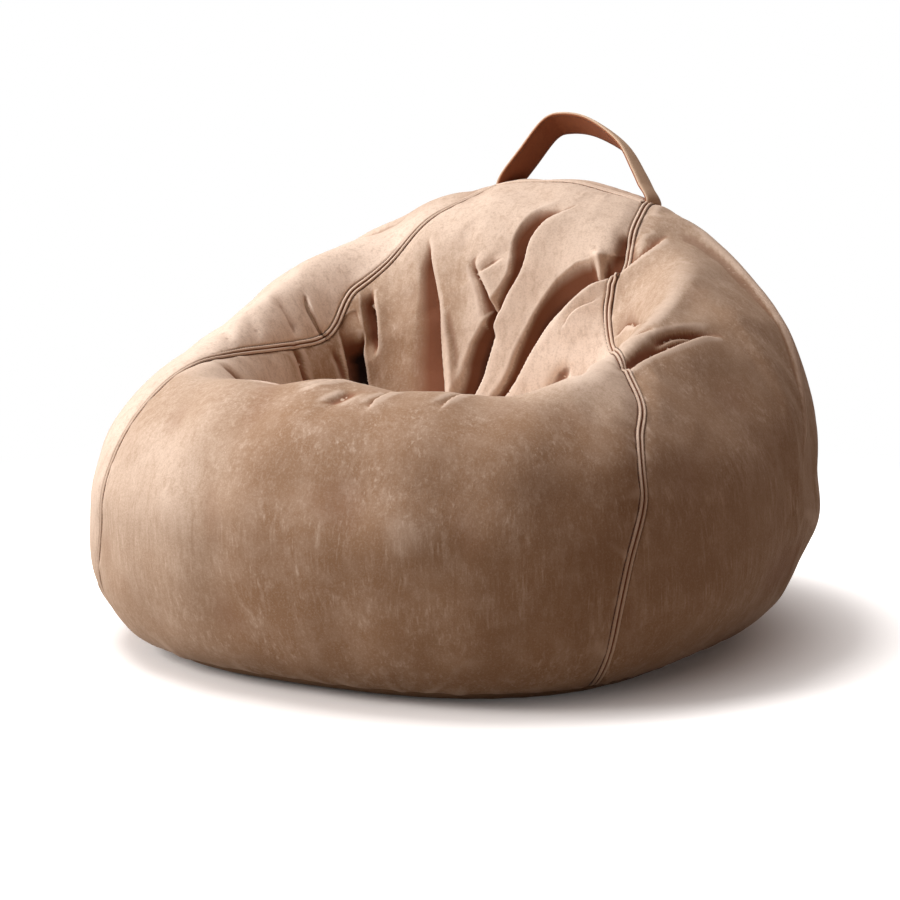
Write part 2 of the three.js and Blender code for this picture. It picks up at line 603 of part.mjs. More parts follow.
const TAPE = { color: 0x3a2c24, roughness: 0.9 };
const METAL = { color: 0x8d7a5c, roughness: 0.35, metalness: 1 };
for (const [name, side] of [['front', -1], ['rear', 1]]) {
  const edges = [ZIP_Y + side * 4.3, ZIP_Y + side * 30].sort((a, b) => a - b);
  const tape = block([-ZIP_HALF - 14, edges[0], TAPE_Z[0]], [ZIP_HALF + 14, edges[1], TAPE_Z[1]]);
  add(`zip_tape_${name}`, tape, TAPE);
  add(`zip_teeth_${name}`, toothRow(side), METAL);
}
add('zip_slider', toGeometry(sliderBody()), METAL).position.set(SLIDER_X, ZIP_Y, 0);
add('zip_pull_tab', pullTab(), METAL).position.set(SLIDER_X + BAIL.x, ZIP_Y, BAIL.z);
for (const [name, x] of [['left', -ZIP_HALF - 3.4], ['right', ZIP_HALF + 16]]) {
  const stop = block([x - 1.6, ZIP_Y - 3.6, TOOTH_Z[0]], [x + 1.6, ZIP_Y + 3.6, TOOTH_Z[1]]);
  add(`zip_stop_${name}`, stop, METAL);
}

const LINER_CLOTH = { color: 0xe6e0d6, roughness: 0.95 };
add('liner_upper', upperLiner(), LINER_CLOTH);
add('liner_base', linerBase(), LINER_CLOTH);
add('bean_fill', beanFill(), { color: 0xf4f3ef, roughness: 0.9 });

const liningNear = STRAP_THICK + 0.4;
const layers = [
  ['', 0, STRAP_THICK, LEATHER_TAN],
  ['_lining', liningNear, liningNear + LINING_THICK, LEATHER_BROWN],
];
for (const [suffix, near, far, look] of layers) {
  add(`handle${suffix || '_strap'}`, strap(near, far), look);
  add(`handle_root${suffix}_left`, root(-1, near, far), look);
  add(`handle_root${suffix}_right`, root(1, near, far), look);
}

export default chair;
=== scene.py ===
# Bean bag chair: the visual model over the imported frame. The form is worked out in millimetres and
# written to the meshes in metres. +Z is up and the seat faces -Y.
import math

import bmesh
import bpy
import numpy as np
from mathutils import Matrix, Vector


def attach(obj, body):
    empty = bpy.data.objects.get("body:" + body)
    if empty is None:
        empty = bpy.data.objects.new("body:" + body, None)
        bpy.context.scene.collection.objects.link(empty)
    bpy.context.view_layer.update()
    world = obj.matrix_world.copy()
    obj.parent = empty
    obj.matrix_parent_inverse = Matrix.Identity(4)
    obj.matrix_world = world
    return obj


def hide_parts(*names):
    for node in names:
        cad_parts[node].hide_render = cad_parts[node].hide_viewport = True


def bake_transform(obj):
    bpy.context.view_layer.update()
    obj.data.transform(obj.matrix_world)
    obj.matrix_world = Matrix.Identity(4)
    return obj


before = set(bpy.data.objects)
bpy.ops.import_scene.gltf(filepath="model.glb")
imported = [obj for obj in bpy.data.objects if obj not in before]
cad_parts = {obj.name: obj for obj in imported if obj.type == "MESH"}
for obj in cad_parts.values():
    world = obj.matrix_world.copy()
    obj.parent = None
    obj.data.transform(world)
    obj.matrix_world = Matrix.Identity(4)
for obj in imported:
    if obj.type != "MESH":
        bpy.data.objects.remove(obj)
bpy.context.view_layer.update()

# ---------------- form of the bag, as in the CAD
HALF_WIDTH, SAG, HEM_HEIGHT, RIDGE = 550.0, 9.0, 14.0, 11.6
POLE_Y, POLE_Z = 15.0, 223.0
MIDDLE = np.array([
    (-565, 221), (-543, 319), (-492, 392), (-405, 428), (-315, 405), (-235, 335), (-140, 262), (-30, 258),
    (55, 345), (115, 490), (175, 615), (250, 670), (350, 685), (457, 600), (558, 424), (550, 217), (491, 115),
    (372, 46), (140, -60), (-130, -60), (-383, -28), (-513, 54)], float)
ARMS = np.array([
    (-565, 221), (-543, 324), (-500, 388), (-425, 445), (-335, 489), (-240, 524), (-140, 565), (-40, 605),
    (50, 636), (118, 672), (204, 678), (295, 676), (345, 691), (475, 560)] + MIDDLE[14:].tolist(), float)
STATIONS = len(MIDDLE)
SEAM_RIGHT = np.array([.81, .815, .797, .767, .735, .66, .565, .523, .455, .37, .372,
                       .352, .335, .39, .45, .51, .525, .49, .46, .51, .68, .775])
SEAM_LEFT = np.array([.665, .635, .61, .58, .547, .537, .523, .503, .473, .455, .355,
                      .255, .155, .27, .40, .48, .51, .48, .46, .50, .66, .73])


def ease(x, low, high):
    t = np.clip((x - low) / (high - low), 0, 1)
    return t * t * (3 - 2 * t)


def cubic(a, b, c, d, f):
    """A smooth run from b to c with the neighbours a and d; f goes from 0 to 1."""
    return 0.5 * (2 * b + (c - a) * f + (2 * a - 5 * b + 4 * c - d) * f ** 2 + (3 * b - a - 3 * c + d) * f ** 3)


def around(ring, k):
    """A smooth closed run through a ring of rows; k counts along the ring."""
    k = np.asarray(k, float)
    i = np.floor(k).astype(int)
    f = (k - i)[(...,) + (None,) * (ring.ndim - 1)]
    return cubic(*(ring[(i + j) % len(ring)] for j in (-1, 0, 1, 2)), f)


def cover(k, u):
    """The bag's surface at station k, a share u of the half width across."""
    k, u = np.broadcast_arrays(np.asarray(k, float), np.asarray(u, float))
    w = np.abs(u)
    press = (1 - ease(w, 0.32, 0.64))[..., None]
    arm = around(ARMS, k)
    loop = arm + (around(MIDDLE, k) - arm) * press
    high, low = ease(loop[..., 1], 350, 620), ease(-loop[..., 1], -370, 32)
    body = np.sqrt(np.clip(1 - w ** 2.23, 0, 1))
    box = np.clip(1 - w ** 2.72, 0, 1) ** (1 / 2.3)
    top = body * (1 - 0.085 * np.clip(4 * w * w * (1 - w * w), 0, 1) ** 1.2)
    y = POLE_Y + (loop[..., 0] - POLE_Y) * (body * (1 - low) + box * low)
    z = POLE_Z + (loop[..., 1] - POLE_Z) * (body * (1 - high - low) + top * high + box * low)
    z = np.where(z < 360, 18 * np.log1p(np.exp(np.clip(z / 18, -40, 30))), z)
    return np.stack([HALF_WIDTH * u + SAG * ease(z, 300, 640), y, z], -1)


def seam_at(k, side):
    return side * around(SEAM_RIGHT if side > 0 else SEAM_LEFT, k)


def line_at(k, v):
    """Where a line of the front and back panels lies; v is -1 at the left seam and 1 at the right seam."""
    return seam_at(k, -1) + (seam_at(k, 1) - seam_at(k, -1)) * (v + 1) / 2


# A side is also read from a disc that faces it: the bearing of each station, and the seam on the rim.
BEARINGS = np.unwrap(np.arctan2(ARMS[:, 1] - POLE_Z, ARMS[:, 0] - POLE_Y))
WHOLE = np.arange(-8, STATIONS + 8)
BEARING_RUN = BEARINGS[WHOLE % STATIONS] - 2 * math.pi * (WHOLE // STATIONS)


def bearing_of(k):
    return np.interp(k, WHOLE, BEARING_RUN)


def rim_of(k, side):
    return np.sqrt(1 - seam_at(k, side) ** 2)


def to_disc(k, u, side):
    r = np.sqrt(np.clip(1 - u * u, 0, 1)) / rim_of(k, side)
    return r * np.cos(bearing_of(k)), r * np.sin(bearing_of(k))


def from_disc(a, b, side):
    highest = bearing_of(-4.0)
    bearing = highest - (highest - np.arctan2(b, a)) % (2 * math.pi)
    k = np.interp(-bearing, -BEARING_RUN, WHOLE)
    return k, side * np.sqrt(np.clip(1 - (a * a + b * b) * rim_of(k, side) ** 2, 0, 1))


def unit(v):
    return v / np.maximum(np.linalg.norm(v, axis=-1, keepdims=True), 1e-12)


def normal(k, u):
    """Outward normal of the surface."""
    k, u = np.broadcast_arrays(np.asarray(k, float), np.asarray(u, float))
    h = 0.012
    out = unit(np.cross(cover(k, u + h) - cover(k, u - h), cover(k + 2 * h, u) - cover(k - 2 * h, u)))
    for side in (-1, 1):
        near = u * side >= 0.88
        if near.any():
            a, b = to_disc(k[near], u[near], side)
            north, south, east, west = (cover(*from_disc(a + i * h, b + j * h, side))
                                        for i, j in ((1, 0), (-1, 0), (0, 1), (0, -1)))
            out[near] = unit(np.cross(east - west, north - south)) * -side
    return out


def bisect(above, low, high):
    """Where above(x) turns positive between two arrays of places."""
    for _ in range(40):
        middle = (low + high) / 2
        up = above(middle) > 0
        low, high = np.where(up, low, middle), np.where(up, middle, high)
    return (low + high) / 2


def hem_station(v, low, high):
    v = np.asarray(v, float)
    return bisect(lambda k: cover(k, line_at(k, v))[..., 2] - HEM_HEIGHT, v * 0 + low, v * 0 + high)


def front_hem(v):
    return hem_station(v, -3, -0.5)


def back_hem(v):
    return hem_station(v, 18, 15)


def ridge_line(v):
    return v * 0 + RIDGE


def run_of(points, axis=0):
    """Length along each line of points from its start."""
    steps = np.linalg.norm(np.diff(points, axis=axis), axis=-1)
    return np.concatenate([np.zeros_like(np.take(steps, [0], axis)), np.cumsum(steps, axis)], axis)


# ---------------- grids of the panels
EDGE = 6.4            # a panel starts this far from the middle of its seam
COARSE = 3            # the outer face has every point of a grid, the inner face and the simulation every third
DENSE = 97            # lines on which a panel's grid is worked out
BASE_MIDDLE = 18.5    # the station under the middle of the base


def shares(count):
    """Places along a panel from 0 to 1, closer together beside its two edges."""
    steps = np.minimum(0.3 + 0.16 * np.minimum(np.arange(count), np.arange(count)[::-1]), 1.0)
    return np.concatenate([[0], np.cumsum(steps)]) / steps.sum()


def spread(lines, values, count, start, end, weights=None):
    """For each line of points (first axis), the values at places along it, drawn back from its ends. Weights
    draw the places closer together."""
    out = []
    for i, (line, value, e0, e1) in enumerate(zip(lines, values, start, end)):
        plain = run = run_of(line)
        if weights is not None:
            steps = np.diff(run) * (weights[i][1:] + weights[i][:-1]) / 2
            run = np.concatenate([[0], np.cumsum(steps)])
        first, last = np.interp([min(e0, 0.3 * plain[-1]), plain[-1] - min(e1, 0.3 * plain[-1])], plain, run)
        out.append(np.interp(first + (last - first) * shares(count), run, value))
    return np.array(out)


def slanted(line, ends):
    """How far along a row its end moves to lie EDGE from the seam that passes through it."""
    along = unit(np.gradient(line, axis=0))
    way = unit(ends - line)
    return EDGE / np.maximum(np.linalg.norm(np.cross(way, along), axis=-1), 0.5)


def middle_grid(start, end, across, along, edge=True):
    """Stations and shares of a panel between the two side seams, [across, along]."""
    v = np.linspace(-1, 1, DENSE)
    first, final = start(v), end(v)
    k = first[:, None] + (final - first)[:, None] * np.linspace(0, 1, 401)
    gap = np.full(DENSE, EDGE if edge else 0.0)
    weights = 1 + 0.9 * np.exp(-((k - 9.0) / 1.5) ** 2) + 0.4 * np.exp(-((k - 3.2) / 0.8) ** 2)  # for the folds
    k = spread(cover(k, line_at(k, v[:, None])), k, along, gap, gap, weights)   # [line, along]
    rows = cover(k, line_at(k, v[:, None])).transpose(1, 0, 2)                  # [along, line]
    left = slanted(rows[:, 0], rows[:, 3]) * edge
    right = slanted(rows[:, -1], rows[:, -4]) * edge
    at = spread(rows, np.broadcast_to(v, rows.shape[:2]), across, left, right)
    k = np.array([np.interp(a, v, column) for a, column in zip(at, k.T)])
    return k.T, line_at(k, at).T


def seam_line(side, count):
    """Stations of a side seam from the front hem over the ridge to the back hem, closer beside the folds."""
    v = float(side)
    k = np.linspace(front_hem(v), back_hem(v), 1200)
    steps = np.diff(run_of(cover(k, seam_at(k, side)))) * (1 + 1.1 * np.exp(-((k[1:] - 7.8) / 2.8) ** 2))
    run = np.concatenate([[0], np.cumsum(steps)])
    return np.interp(np.linspace(0, run[-1], count + 1), run, k)


def side_hem(side, start, end, count):
    """The base seam beside a side panel, from its front corner to its back corner."""
    turns = [math.atan2(abs(u) / 0.8, (k % STATIONS - BASE_MIDDLE) / 2) for k, u in (start, end)]
    turn = np.linspace(*turns, count + 1)
    at = lambda r: (BASE_MIDDLE + 2 * r * np.cos(turn), side * 0.8 * r * np.sin(turn))
    return at(bisect(lambda r: cover(*at(r))[..., 2] - HEM_HEIGHT, turn * 0 + 0.3, turn * 0 + 1.15))


def side_grid(side, along, rows, edge=True, stations=None):
    """Stations and shares of a side panel, [along its seam, from the seam to the hem]."""
    k = seam_line(side, along) if stations is None else stations
    u = seam_at(k, side)
    hem = side_hem(side, (k[0], u[0]), (k[-1], u[-1]), along)
    a0, b0 = to_disc(k, u, side)
    a1, b1 = to_disc(*hem, side)
    t = np.linspace(0, 1, DENSE)
    line = lambda s: from_disc(*(p[:, None] + (q - p)[:, None] * s for p, q in ((a0, a1), (b0, b1))), side)
    points = cover(*line(t))
    gap = slanted(points[:, 0], points[:, 3]) * edge
    weights = np.broadcast_to(1 + 1.2 * np.exp(-3 * t), points.shape[:2])
    t = spread(points, np.broadcast_to(t, points.shape[:2]), rows, gap, gap, weights)
    return line(t)


def hem_ring(count):
    """The whole base seam: front, right side, back, left side."""
    v = np.linspace(-1, 1, count + 1)
    front, back = front_hem(v), back_hem(v)
    parts = [(front, line_at(front, v))]
    for side, (f, b) in ((1, (-1, -1)), (-1, (0, 0))):
        k, u = side_hem(side, (front[f], line_at(front[f], v[f])), (back[b], line_at(back[b], v[b])), count)
        parts.append((k, u) if side > 0 else (k[::-1], u[::-1]))
    parts.insert(2, (back[::-1], line_at(back, v)[::-1]))
    return [np.concatenate([part[i][:-1] for part in parts]) for i in (0, 1)]


# ---------------- folds
# A fold is a path of (station, share) on the cover, its height in millimetres, how far it reaches to the left
# and to the right of the path, how far it leans to the left, and its kind. "soft" is rounded, and "crease" comes
# to an edge along the path. A number stands for a pleat: it falls to the path from the left, by that power of the
# distance, and stands up steeply as a ridge on the right. A size may be a list with one value for each point.
BACKREST = [
    # the pocket on the right, closed by the arm; higher up it crosses the right seam
    ([(7.7, .06), (8.23, .132), (8.55, .163), (8.83, .194), (9.0, .222), (9.24, .266), (9.41, .3), (9.59, .349),
      (9.82, .397), (10.2, .432), (10.7, .442), (11.1, .438)],
     [30, 36, 40, 42, 42, 38, 34, 20, 11, 7, 5, 3], [20, 24, 30, 36, 46, 54, 54, 44, 32, 28, 20, 10],
     [30, 34, 34, 34, 32, 30, 28, 26, 26, 26, 24, 20], [5, 5, 5, 5, 5, 4, 3, 0, -3, -6, -7, -7], 0.8),
    ([(9.42, .31), (9.6, .309), (9.77, .299), (9.92, .275)], 15, 9, 12, 0, "soft"),
    ([(9.7, .342), (9.84, .352), (10.1, .358), (10.6, .358)], -14, 17, 20, 0, "soft"),
    ([(8.53, .177), (8.86, .222), (9.11, .255), (9.32, .292), (9.48, .329)], -1.5, 6, 4, 0, "soft"),
    ([(8.8, .245), (9.04, .279), (9.19, .316), (9.33, .342)], 4, 20, 16, 0, 2.2),
    ([(8.1, .235), (8.4, .268), (8.55, .292)], -10, 13, 12, 0, "soft"),
    # the deep valley at the foot of the long lit ridge, which goes on upwards as a pleat
    ([(7.6, -.02), (8.23, .021), (8.44, .028), (8.69, .036), (8.86, .038), (9.04, .04), (9.16, .044), (9.29, .053),
      (9.41, .063), (9.57, .067), (9.76, .068), (9.93, .075), (10.17, .096), (10.45, .134), (10.87, .17)],
     [44, 50, 50, 46, 38, 32, 30, 30, 32, 34, 34, 31, 25, 15, 5],
     [36, 42, 46, 46, 38, 26, 20, 22, 24, 28, 32, 34, 34, 30, 24],
     [22, 26, 30, 30, 30, 32, 34, 36, 36, 36, 34, 32, 28, 24, 20],
     [3, 3, 3, 3, 2, 0, 0, -1, -2, -4, -4, -5, -6, -6, -6], 1.0),
    # the small flap beside it
    ([(8.55, .062), (8.7, .052), (8.86, .034), (8.99, .01), (9.18, -.021), (9.33, -.052), (9.43, -.077),
      (9.55, -.094), (9.71, -.08)],
     [2, 5, 16, 24, 25, 21, 16, 12, 7], [16, 20, 26, 28, 24, 18, 13, 10, 8],
     [10, 10, 12, 14, 15, 15, 14, 14, 14], [0, 0, 0, 0, 0, -1, -2, -3, -3], 1.2),
    ([(9.38, -.079), (9.51, -.042), (9.62, -.012)], 6, 14, 18, -6, 1.6),
    # left half, from the middle outwards
    ([(7.7, -.03), (8.17, -.066), (8.56, -.098), (8.88, -.136), (9.11, -.16)], 7, 10, 7, 0, "soft"),
    ([(7.6, -.05), (8.17, -.101), (8.56, -.136), (8.88, -.16), (9.18, -.191), (9.49, -.225), (9.79, -.255),
      (10.05, -.28)], [26, 29, 29, 27, 24, 21, 16, 8], [70, 70, 64, 54, 42, 32, 24, 16], 26, -4, 1.5),
    ([(7.9, -.31), (8.2, -.35), (8.33, -.368), (8.45, -.388), (8.58, -.41)], [46, 48, 46, 42, 32], 36, 15, 3, 0.6),
    ([(8.44, -.346), (8.67, -.349), (8.88, -.371), (9.04, -.397), (9.23, -.42)], [22, 27, 26, 21, 12],
     [26, 28, 26, 22, 16], 18, -2, 1.0),
    ([(9.5, -.125), (9.93, -.132), (10.3, -.12)], -2.5, 20, 20, 0, "soft"),
    ([(9.5, -.014), (9.77, .014), (10.2, .02)], -3, 22, 16, 0, "soft"),
]
ARM_FOLDS = [
    # right: the lit ridge along the side panel, with a second one and wrinkles above it
    ([(4.9, .625), (5.19, .645), (5.8, .669), (6.35, .692), (6.93, .717), (7.45, .736), (8.05, .772)],
     [7, 14, 17, 17, 16, 13, 6], [18, 30, 34, 34, 32, 26, 18], 44, -8, 1.6),
    ([(6.1, .652), (6.24, .659), (6.69, .677), (7.12, .707), (7.6, .738)], [3, 7, 9, 8, 3], 18, 16, -6, 1.6),
    ([(4.3, .57), (4.6, .566), (5.2, .553), (5.64, .565), (6.02, .57), (6.41, .607), (6.79, .637)],
     [5, 9, 11, 10, 9, 7, 3], 20, 22, -6, 1.6),
    ([(8.78, .375), (8.71, .413), (8.53, .463), (7.4, .565)], 6, 30, 26, -3, 2.0),
    # left: the tuck that runs to the kink of the seam, and soft puckers beside it
    ([(7.81, -.466), (7.75, -.506), (7.75, -.536), (7.83, -.56)], [8, 12, 12, 8], 26, 14, 0, 2.5),
    ([(7.81, -.466), (7.75, -.506), (7.75, -.536), (7.83, -.56)], -12, 3.5, 3, 0, "crease"),
    ([(7.09, -.5), (7.07, -.536), (7.1, -.576), (7.2, -.62)], -5, 14, 24, 0, "soft"),
    ([(6.13, -.614), (6.08, -.555), (6.06, -.537)], -3, 20, 16, 0, "soft"),
    ([(5.6, -.64), (5.26, -.577), (5.21, -.549)], -3, 20, 16, 0, "soft"),
    ([(6.9, -.44), (6.87, -.469), (6.88, -.491), (6.84, -.516)], -8, 10, 8, 0, "soft"),
    ([(7.84, -.39), (7.84, -.413), (7.86, -.435), (7.83, -.465)], -9, 12, 7, 0, "soft"),
]
RIM_FOLDS = [
    ([(2.7, -.07), (2.83, -.01), (3.15, .02), (3.3, .045), (3.32, .08)], [6, 12, 14, 11, 6],
     [14, 20, 22, 20, 14], 14, 2, 1.4),
    ([(2.3, .05), (2.6, .075), (2.9, .085)], -7, 9, 16, 0, "soft"),
    ([(2.31, .166), (2.6, .178), (2.83, .19), (3.06, .188)], [4, 8, 9, 5], 18, 14, 1, 1.6),
    ([(2.52, .334), (2.84, .348), (3.35, .355)], [3, 7, 5], 16, 14, 1, 1.6),
    ([(4.13, -.55), (4.71, -.462), (5.35, -.403)], -7, 10, 20, 0, "soft"),
    ([(3.33, -.353), (3.46, -.264), (3.59, -.165)], -7, 9, 20, 0, "crease"),
]
FOLDS = BACKREST + ARM_FOLDS + RIM_FOLDS


def fold_move(points, normals, fold):
    """How far one fold lifts each point out of the cover, and how it moves it sideways, in millimetres."""
    path, *sizes, kind = fold
    ring = np.array(path, float)
    t = np.linspace(0, len(ring) - 1.001, 10 * len(ring))
    at = around(np.vstack([2 * ring[0] - ring[1], ring, 2 * ring[-1] - ring[-2], ring[0]]), t + 1)
    line = cover(at[:, 0], at[:, 1])
    run, tangent = run_of(line), unit(np.gradient(line, axis=0))
    sizes = [np.interp(t, np.arange(len(ring)), np.broadcast_to(size, len(ring))) for size in sizes]
    reach = 2.2 * max(sizes[1].max(), sizes[2].max()) + 12
    flat = points.reshape(-1, 3)
    lift, aside = np.zeros(len(flat)), np.zeros((len(flat), 3))
    near = np.all((flat > line.min(0) - reach) & (flat < line.max(0) + reach), axis=1).nonzero()[0]
    p, n = flat[near], normals.reshape(-1, 3)[near]
    best, x = np.full(len(near), 1e9), np.zeros(len(near))
    weight, place = np.zeros(len(near)), np.zeros(len(near))
    for final in (False, True):
        for i in range(len(line) - 1):
            d = line[i + 1] - line[i]
            s = np.clip((p - line[i]) @ d / (d @ d), 0, 1)
            gap = p - line[i] - s[:, None] * d
            gap -= (gap * n).sum(-1, keepdims=True) * n * 0.5
            distance = np.linalg.norm(gap, axis=-1)
            if final:       # the place is a soft mean of the nearest ones, so nothing jumps inside a bend
                share = np.exp((best - distance) / (3 + 0.3 * best))
                weight += share
                place += share * (i + s)
            closer = distance < best
            best[closer] = distance[closer]
            x[closer] = (np.sign((gap * np.cross(d, n)).sum(-1)) * distance)[closer]
    place /= weight
    read = lambda values: np.interp(place, np.arange(len(line)), values)
    height, left, right, lean = (read(size) for size in sizes)
    if isinstance(kind, str):
        w = np.abs(x) / np.where(x < 0, left, right)
        shape = np.exp(-1.6 * w * w) * (w < 2.2) if kind == "soft" else np.clip(1 - w / 1.6, 0, 1) ** 2
        shift = shape
    else:
        fall = np.clip(1 + x / left, 0, 1) ** kind
        step = 5.0 + 0.14 * right
        rise = ease(x, 0, step)
        beyond = np.maximum(x - step, 0) / right
        ridge = np.minimum(0.35, 8 / np.maximum(height, 1))
        shape = np.where(x < 0, -fall, np.where(x < step, (1 + ridge) * rise - 1, ridge * np.exp(-beyond ** 2)))
        shift = np.where(x < step, rise, np.exp(-(beyond / 1.5) ** 2))
        lean = lean + step
    # A fold runs out over a length of its own at both ends.
    along = read(run)
    fade = min(0.35 * run[-1], 60.0)
    out = ease(np.minimum(along, run[-1] - along), 0, fade)
    way = unit(np.cross(np.stack([read(tangent[:, i]) for i in range(3)], -1), n))
    lift[near] = height * shape * out
    aside[near] = -(lean * shift * out)[:, None] * way
    return lift.reshape(points.shape[:-1]), aside.reshape(points.shape)


def waves(points, length, seed, count=14):
    """A smooth field of random waves about a length apart, from -1 to 1 or so."""
    rng = np.random.default_rng(seed)
    ways = unit(rng.normal(size=(count, 3))) * (2 * math.pi / length) * rng.uniform(0.6, 1.4, (count, 1))
    phase = rng.uniform(0, 2 * math.pi, count)
    return np.sin(points @ ways.T + phase).sum(-1) / math.sqrt(count)


def puckers(distance, along, seed, height, reach=38.0, pitch=34.0):
    """Short folds that stand off a seam: how far they lift a point at a distance from it, at a length along it."""
    rng = np.random.default_rng(seed)
    total = float(np.max(along))
    out = np.zeros(np.broadcast(distance, along).shape)
    at = 0.0
    while at < total:
        at += pitch * rng.uniform(0.5, 1.9)
        size, wide = rng.uniform(0.25, 1.0) ** 1.5, rng.uniform(6, 13)
        far, lean = rng.uniform(0.5, 1.5), rng.normal(0, 0.35)
        x = (along - at - lean * distance) / (wide * (1 + distance / 60))
        out += size * np.exp(-x * x) * np.exp(-distance / (reach * far)) * (distance / (distance + 4))
    return height * out


def fold(points, out):
    """Points of the plain cover moved by all folds."""
    lift = 2.2 * waves(points, 150, 3) * ease(points[..., 2], 20, 120)
    aside = np.zeros(points.shape)
    for one in FOLDS:
        up, way = fold_move(points, out, one)
        lift, aside = lift + up, aside + way
    return points + out * lift[..., None] + aside


def folded(k, u):
    """Points of the cover with its folds, and the plain surface's normals."""
    points, out = cover(k, u), normal(k, u)
    return fold(points, out), out


def valleys(k, u):
    """Like folded, but only what the folds push inwards, as deep as the liner is pressed."""
    points, out = cover(k, u), normal(k, u)
    lift = np.zeros(points.shape[:-1])
    for one in FOLDS:
        lift = lift + fold_move(points, out, one)[0]
    return points + out * np.minimum(1.3 * lift - 2, 0)[..., None], out


# ---------------- simulation
def quads_of(index, flip=False):
    quads = np.stack([index[:-1, :-1], index[1:, :-1], index[1:, 1:], index[:-1, 1:]], -1).reshape(-1, 4)
    return (quads[:, ::-1] if flip else quads).tolist()


def added(name, data):
    """A new object in the scene."""
    obj = bpy.data.objects.new(name, data)
    bpy.context.scene.collection.objects.link(obj)
    return obj


SIM_FRAMES, SIM_CAP = 18, 22.0


def slacken(points, flip):
    """The coarse grid of a panel after a short cloth simulation: cut a little too large, held along its
    edges and pushed out from inside. Returns each point's movement in millimetres, capped."""
    n, m = points.shape[:2]
    index = np.arange(n * m).reshape(n, m)
    mesh = bpy.data.meshes.new("slack")
    mesh.from_pydata((points.reshape(-1, 3) / 1000).tolist(), [], quads_of(index, flip))
    obj = added("slack", mesh)
    group = obj.vertex_groups.new(name="held")
    inner = np.zeros((n, m), bool)
    inner[2:-2, 2:-2] = True
    group.add(index[~inner].tolist(), 1.0, "REPLACE")
    group.add(index[inner].tolist(), 0.25, "REPLACE")
    cloth = obj.modifiers.new("cloth", "CLOTH")
    cloth.collision_settings.use_collision = False
    s = cloth.settings
    s.quality, s.mass = 8, 0.15
    s.tension_stiffness = s.compression_stiffness = 80
    s.shear_stiffness, s.bending_stiffness = 40, 30
    s.vertex_group_mass, s.pin_stiffness = "held", 1.0
    s.shrink_min = -0.03
    s.use_pressure, s.uniform_pressure_force = True, 2.0
    s.effector_weights.gravity = 0
    for f in range(1, SIM_FRAMES + 1):
        bpy.context.scene.frame_set(f)
    shown = obj.evaluated_get(bpy.context.evaluated_depsgraph_get())
    co = np.empty(n * m * 3)
    shown.data.vertices.foreach_get("co", co)
    bpy.context.scene.frame_set(1)
    bpy.data.objects.remove(obj)
    bpy.data.meshes.remove(mesh)
    move = co.reshape(n, m, 3) * 1000 - points
    size = np.linalg.norm(move, axis=-1, keepdims=True)
    return move * SIM_CAP / np.maximum(size, SIM_CAP)


def finer(grid, n, m):
    """A coarse grid's movements read at every point of the fine grid, smoothly."""
    for axis, count in ((0, n), (1, m)):
        grid = np.moveaxis(grid, axis, 0)
        at = np.arange(count) / COARSE
        i = np.minimum(at.astype(int), len(grid) - 2)
        f = (at - i)[:, None, None]
        grid = cubic(*(grid[np.clip(i + j, 0, len(grid) - 1)] for j in (-1, 0, 1, 2)), f)
        grid = np.moveaxis(grid, 0, axis)
    return grid


# ---------------- meshes
def make(name, points, faces, material, wear_and_painted_light=None, body="bag", painted_light=None):
    """A piece from points in millimetres and lists of faces."""
    mesh = bpy.data.meshes.new(name)
    mesh.from_pydata((np.asarray(points, float).reshape(-1, 3) / 1000).tolist(), [], faces)
    mesh.polygons.foreach_set("use_smooth", [True] * len(mesh.polygons))
    # These two attributes carry painted light and shade, with some rubbing, into the leather's colour.
    for key, values in (("wear_and_painted_light", wear_and_painted_light), ("painted_light", painted_light)):
        if values is not None:
            attribute = mesh.attributes.new(key, "FLOAT", "POINT")
            attribute.data.foreach_set("value", np.asarray(values, np.float32).ravel())
    mesh.materials.append(material)
    mesh.update()
    obj = added(name, mesh)
    if body:
        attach(obj, body)
    return obj


def boundary(index):
    return np.concatenate([index[:-1, 0], index[-1, :-1], index[:0:-1, -1], index[0, :0:-1]])


def tube_faces(index):
    """Faces around a grid of points [along, around], with flat ends."""
    index = np.concatenate([index, index[:, :1]], 1)
    return quads_of(index) + [index[0, :-1].tolist(), index[-1, :-1][::-1].tolist()]


def shell(name, outer, inner, material, flip, wear_and_painted_light=0.0, painted_light=0.0, stride=COARSE):
    """A closed panel: an outer face, an inner face with every stride-th point, and a rim between them."""
    n, m = outer.shape[:2]
    face = np.arange(n * m).reshape(n, m)
    back = n * m + np.arange(inner.shape[0] * inner.shape[1]).reshape(inner.shape[:2])
    rim, lining = boundary(face), boundary(back)
    faces = quads_of(face, flip) + quads_of(back, not flip)
    for s in range(len(lining)):
        edge = [int(rim[(stride * s + i) % len(rim)]) for i in range(stride + 1)]
        ring = edge[::-1] + [int(lining[s]), int(lining[(s + 1) % len(lining)])]
        faces.append(ring[::-1] if flip else ring)
    points = np.concatenate([outer.reshape(-1, 3), inner.reshape(-1, 3)])
    wear_and_painted_light, painted_light = (np.concatenate([np.broadcast_to(value, (n, m)).ravel(), np.zeros(inner[..., 0].size)])
                  for value in (wear_and_painted_light, painted_light))
    return make(name, points, faces, material, wear_and_painted_light, painted_light=painted_light)


def grid_normals(points, flip):
    n = unit(np.cross(np.gradient(points, axis=0), np.gradient(points, axis=1)))
    return -n if flip else n


def bulge(points, out):
    """How far each point stands out of its surroundings, about 15 mm around: crests are painted paler, partly rubbed
    and partly a painted highlight, and valleys get painted shade.
    """
    total = np.zeros(points.shape[:2])
    for step in (2, 4):
        for axis in (0, 1):
            at, last = np.arange(points.shape[axis]), points.shape[axis] - 1
            low, high = (np.take(points, np.clip(at + way, 0, last), axis) for way in (-step, step))
            total += ((points - (low + high) / 2) * out).sum(-1) / step
    return total


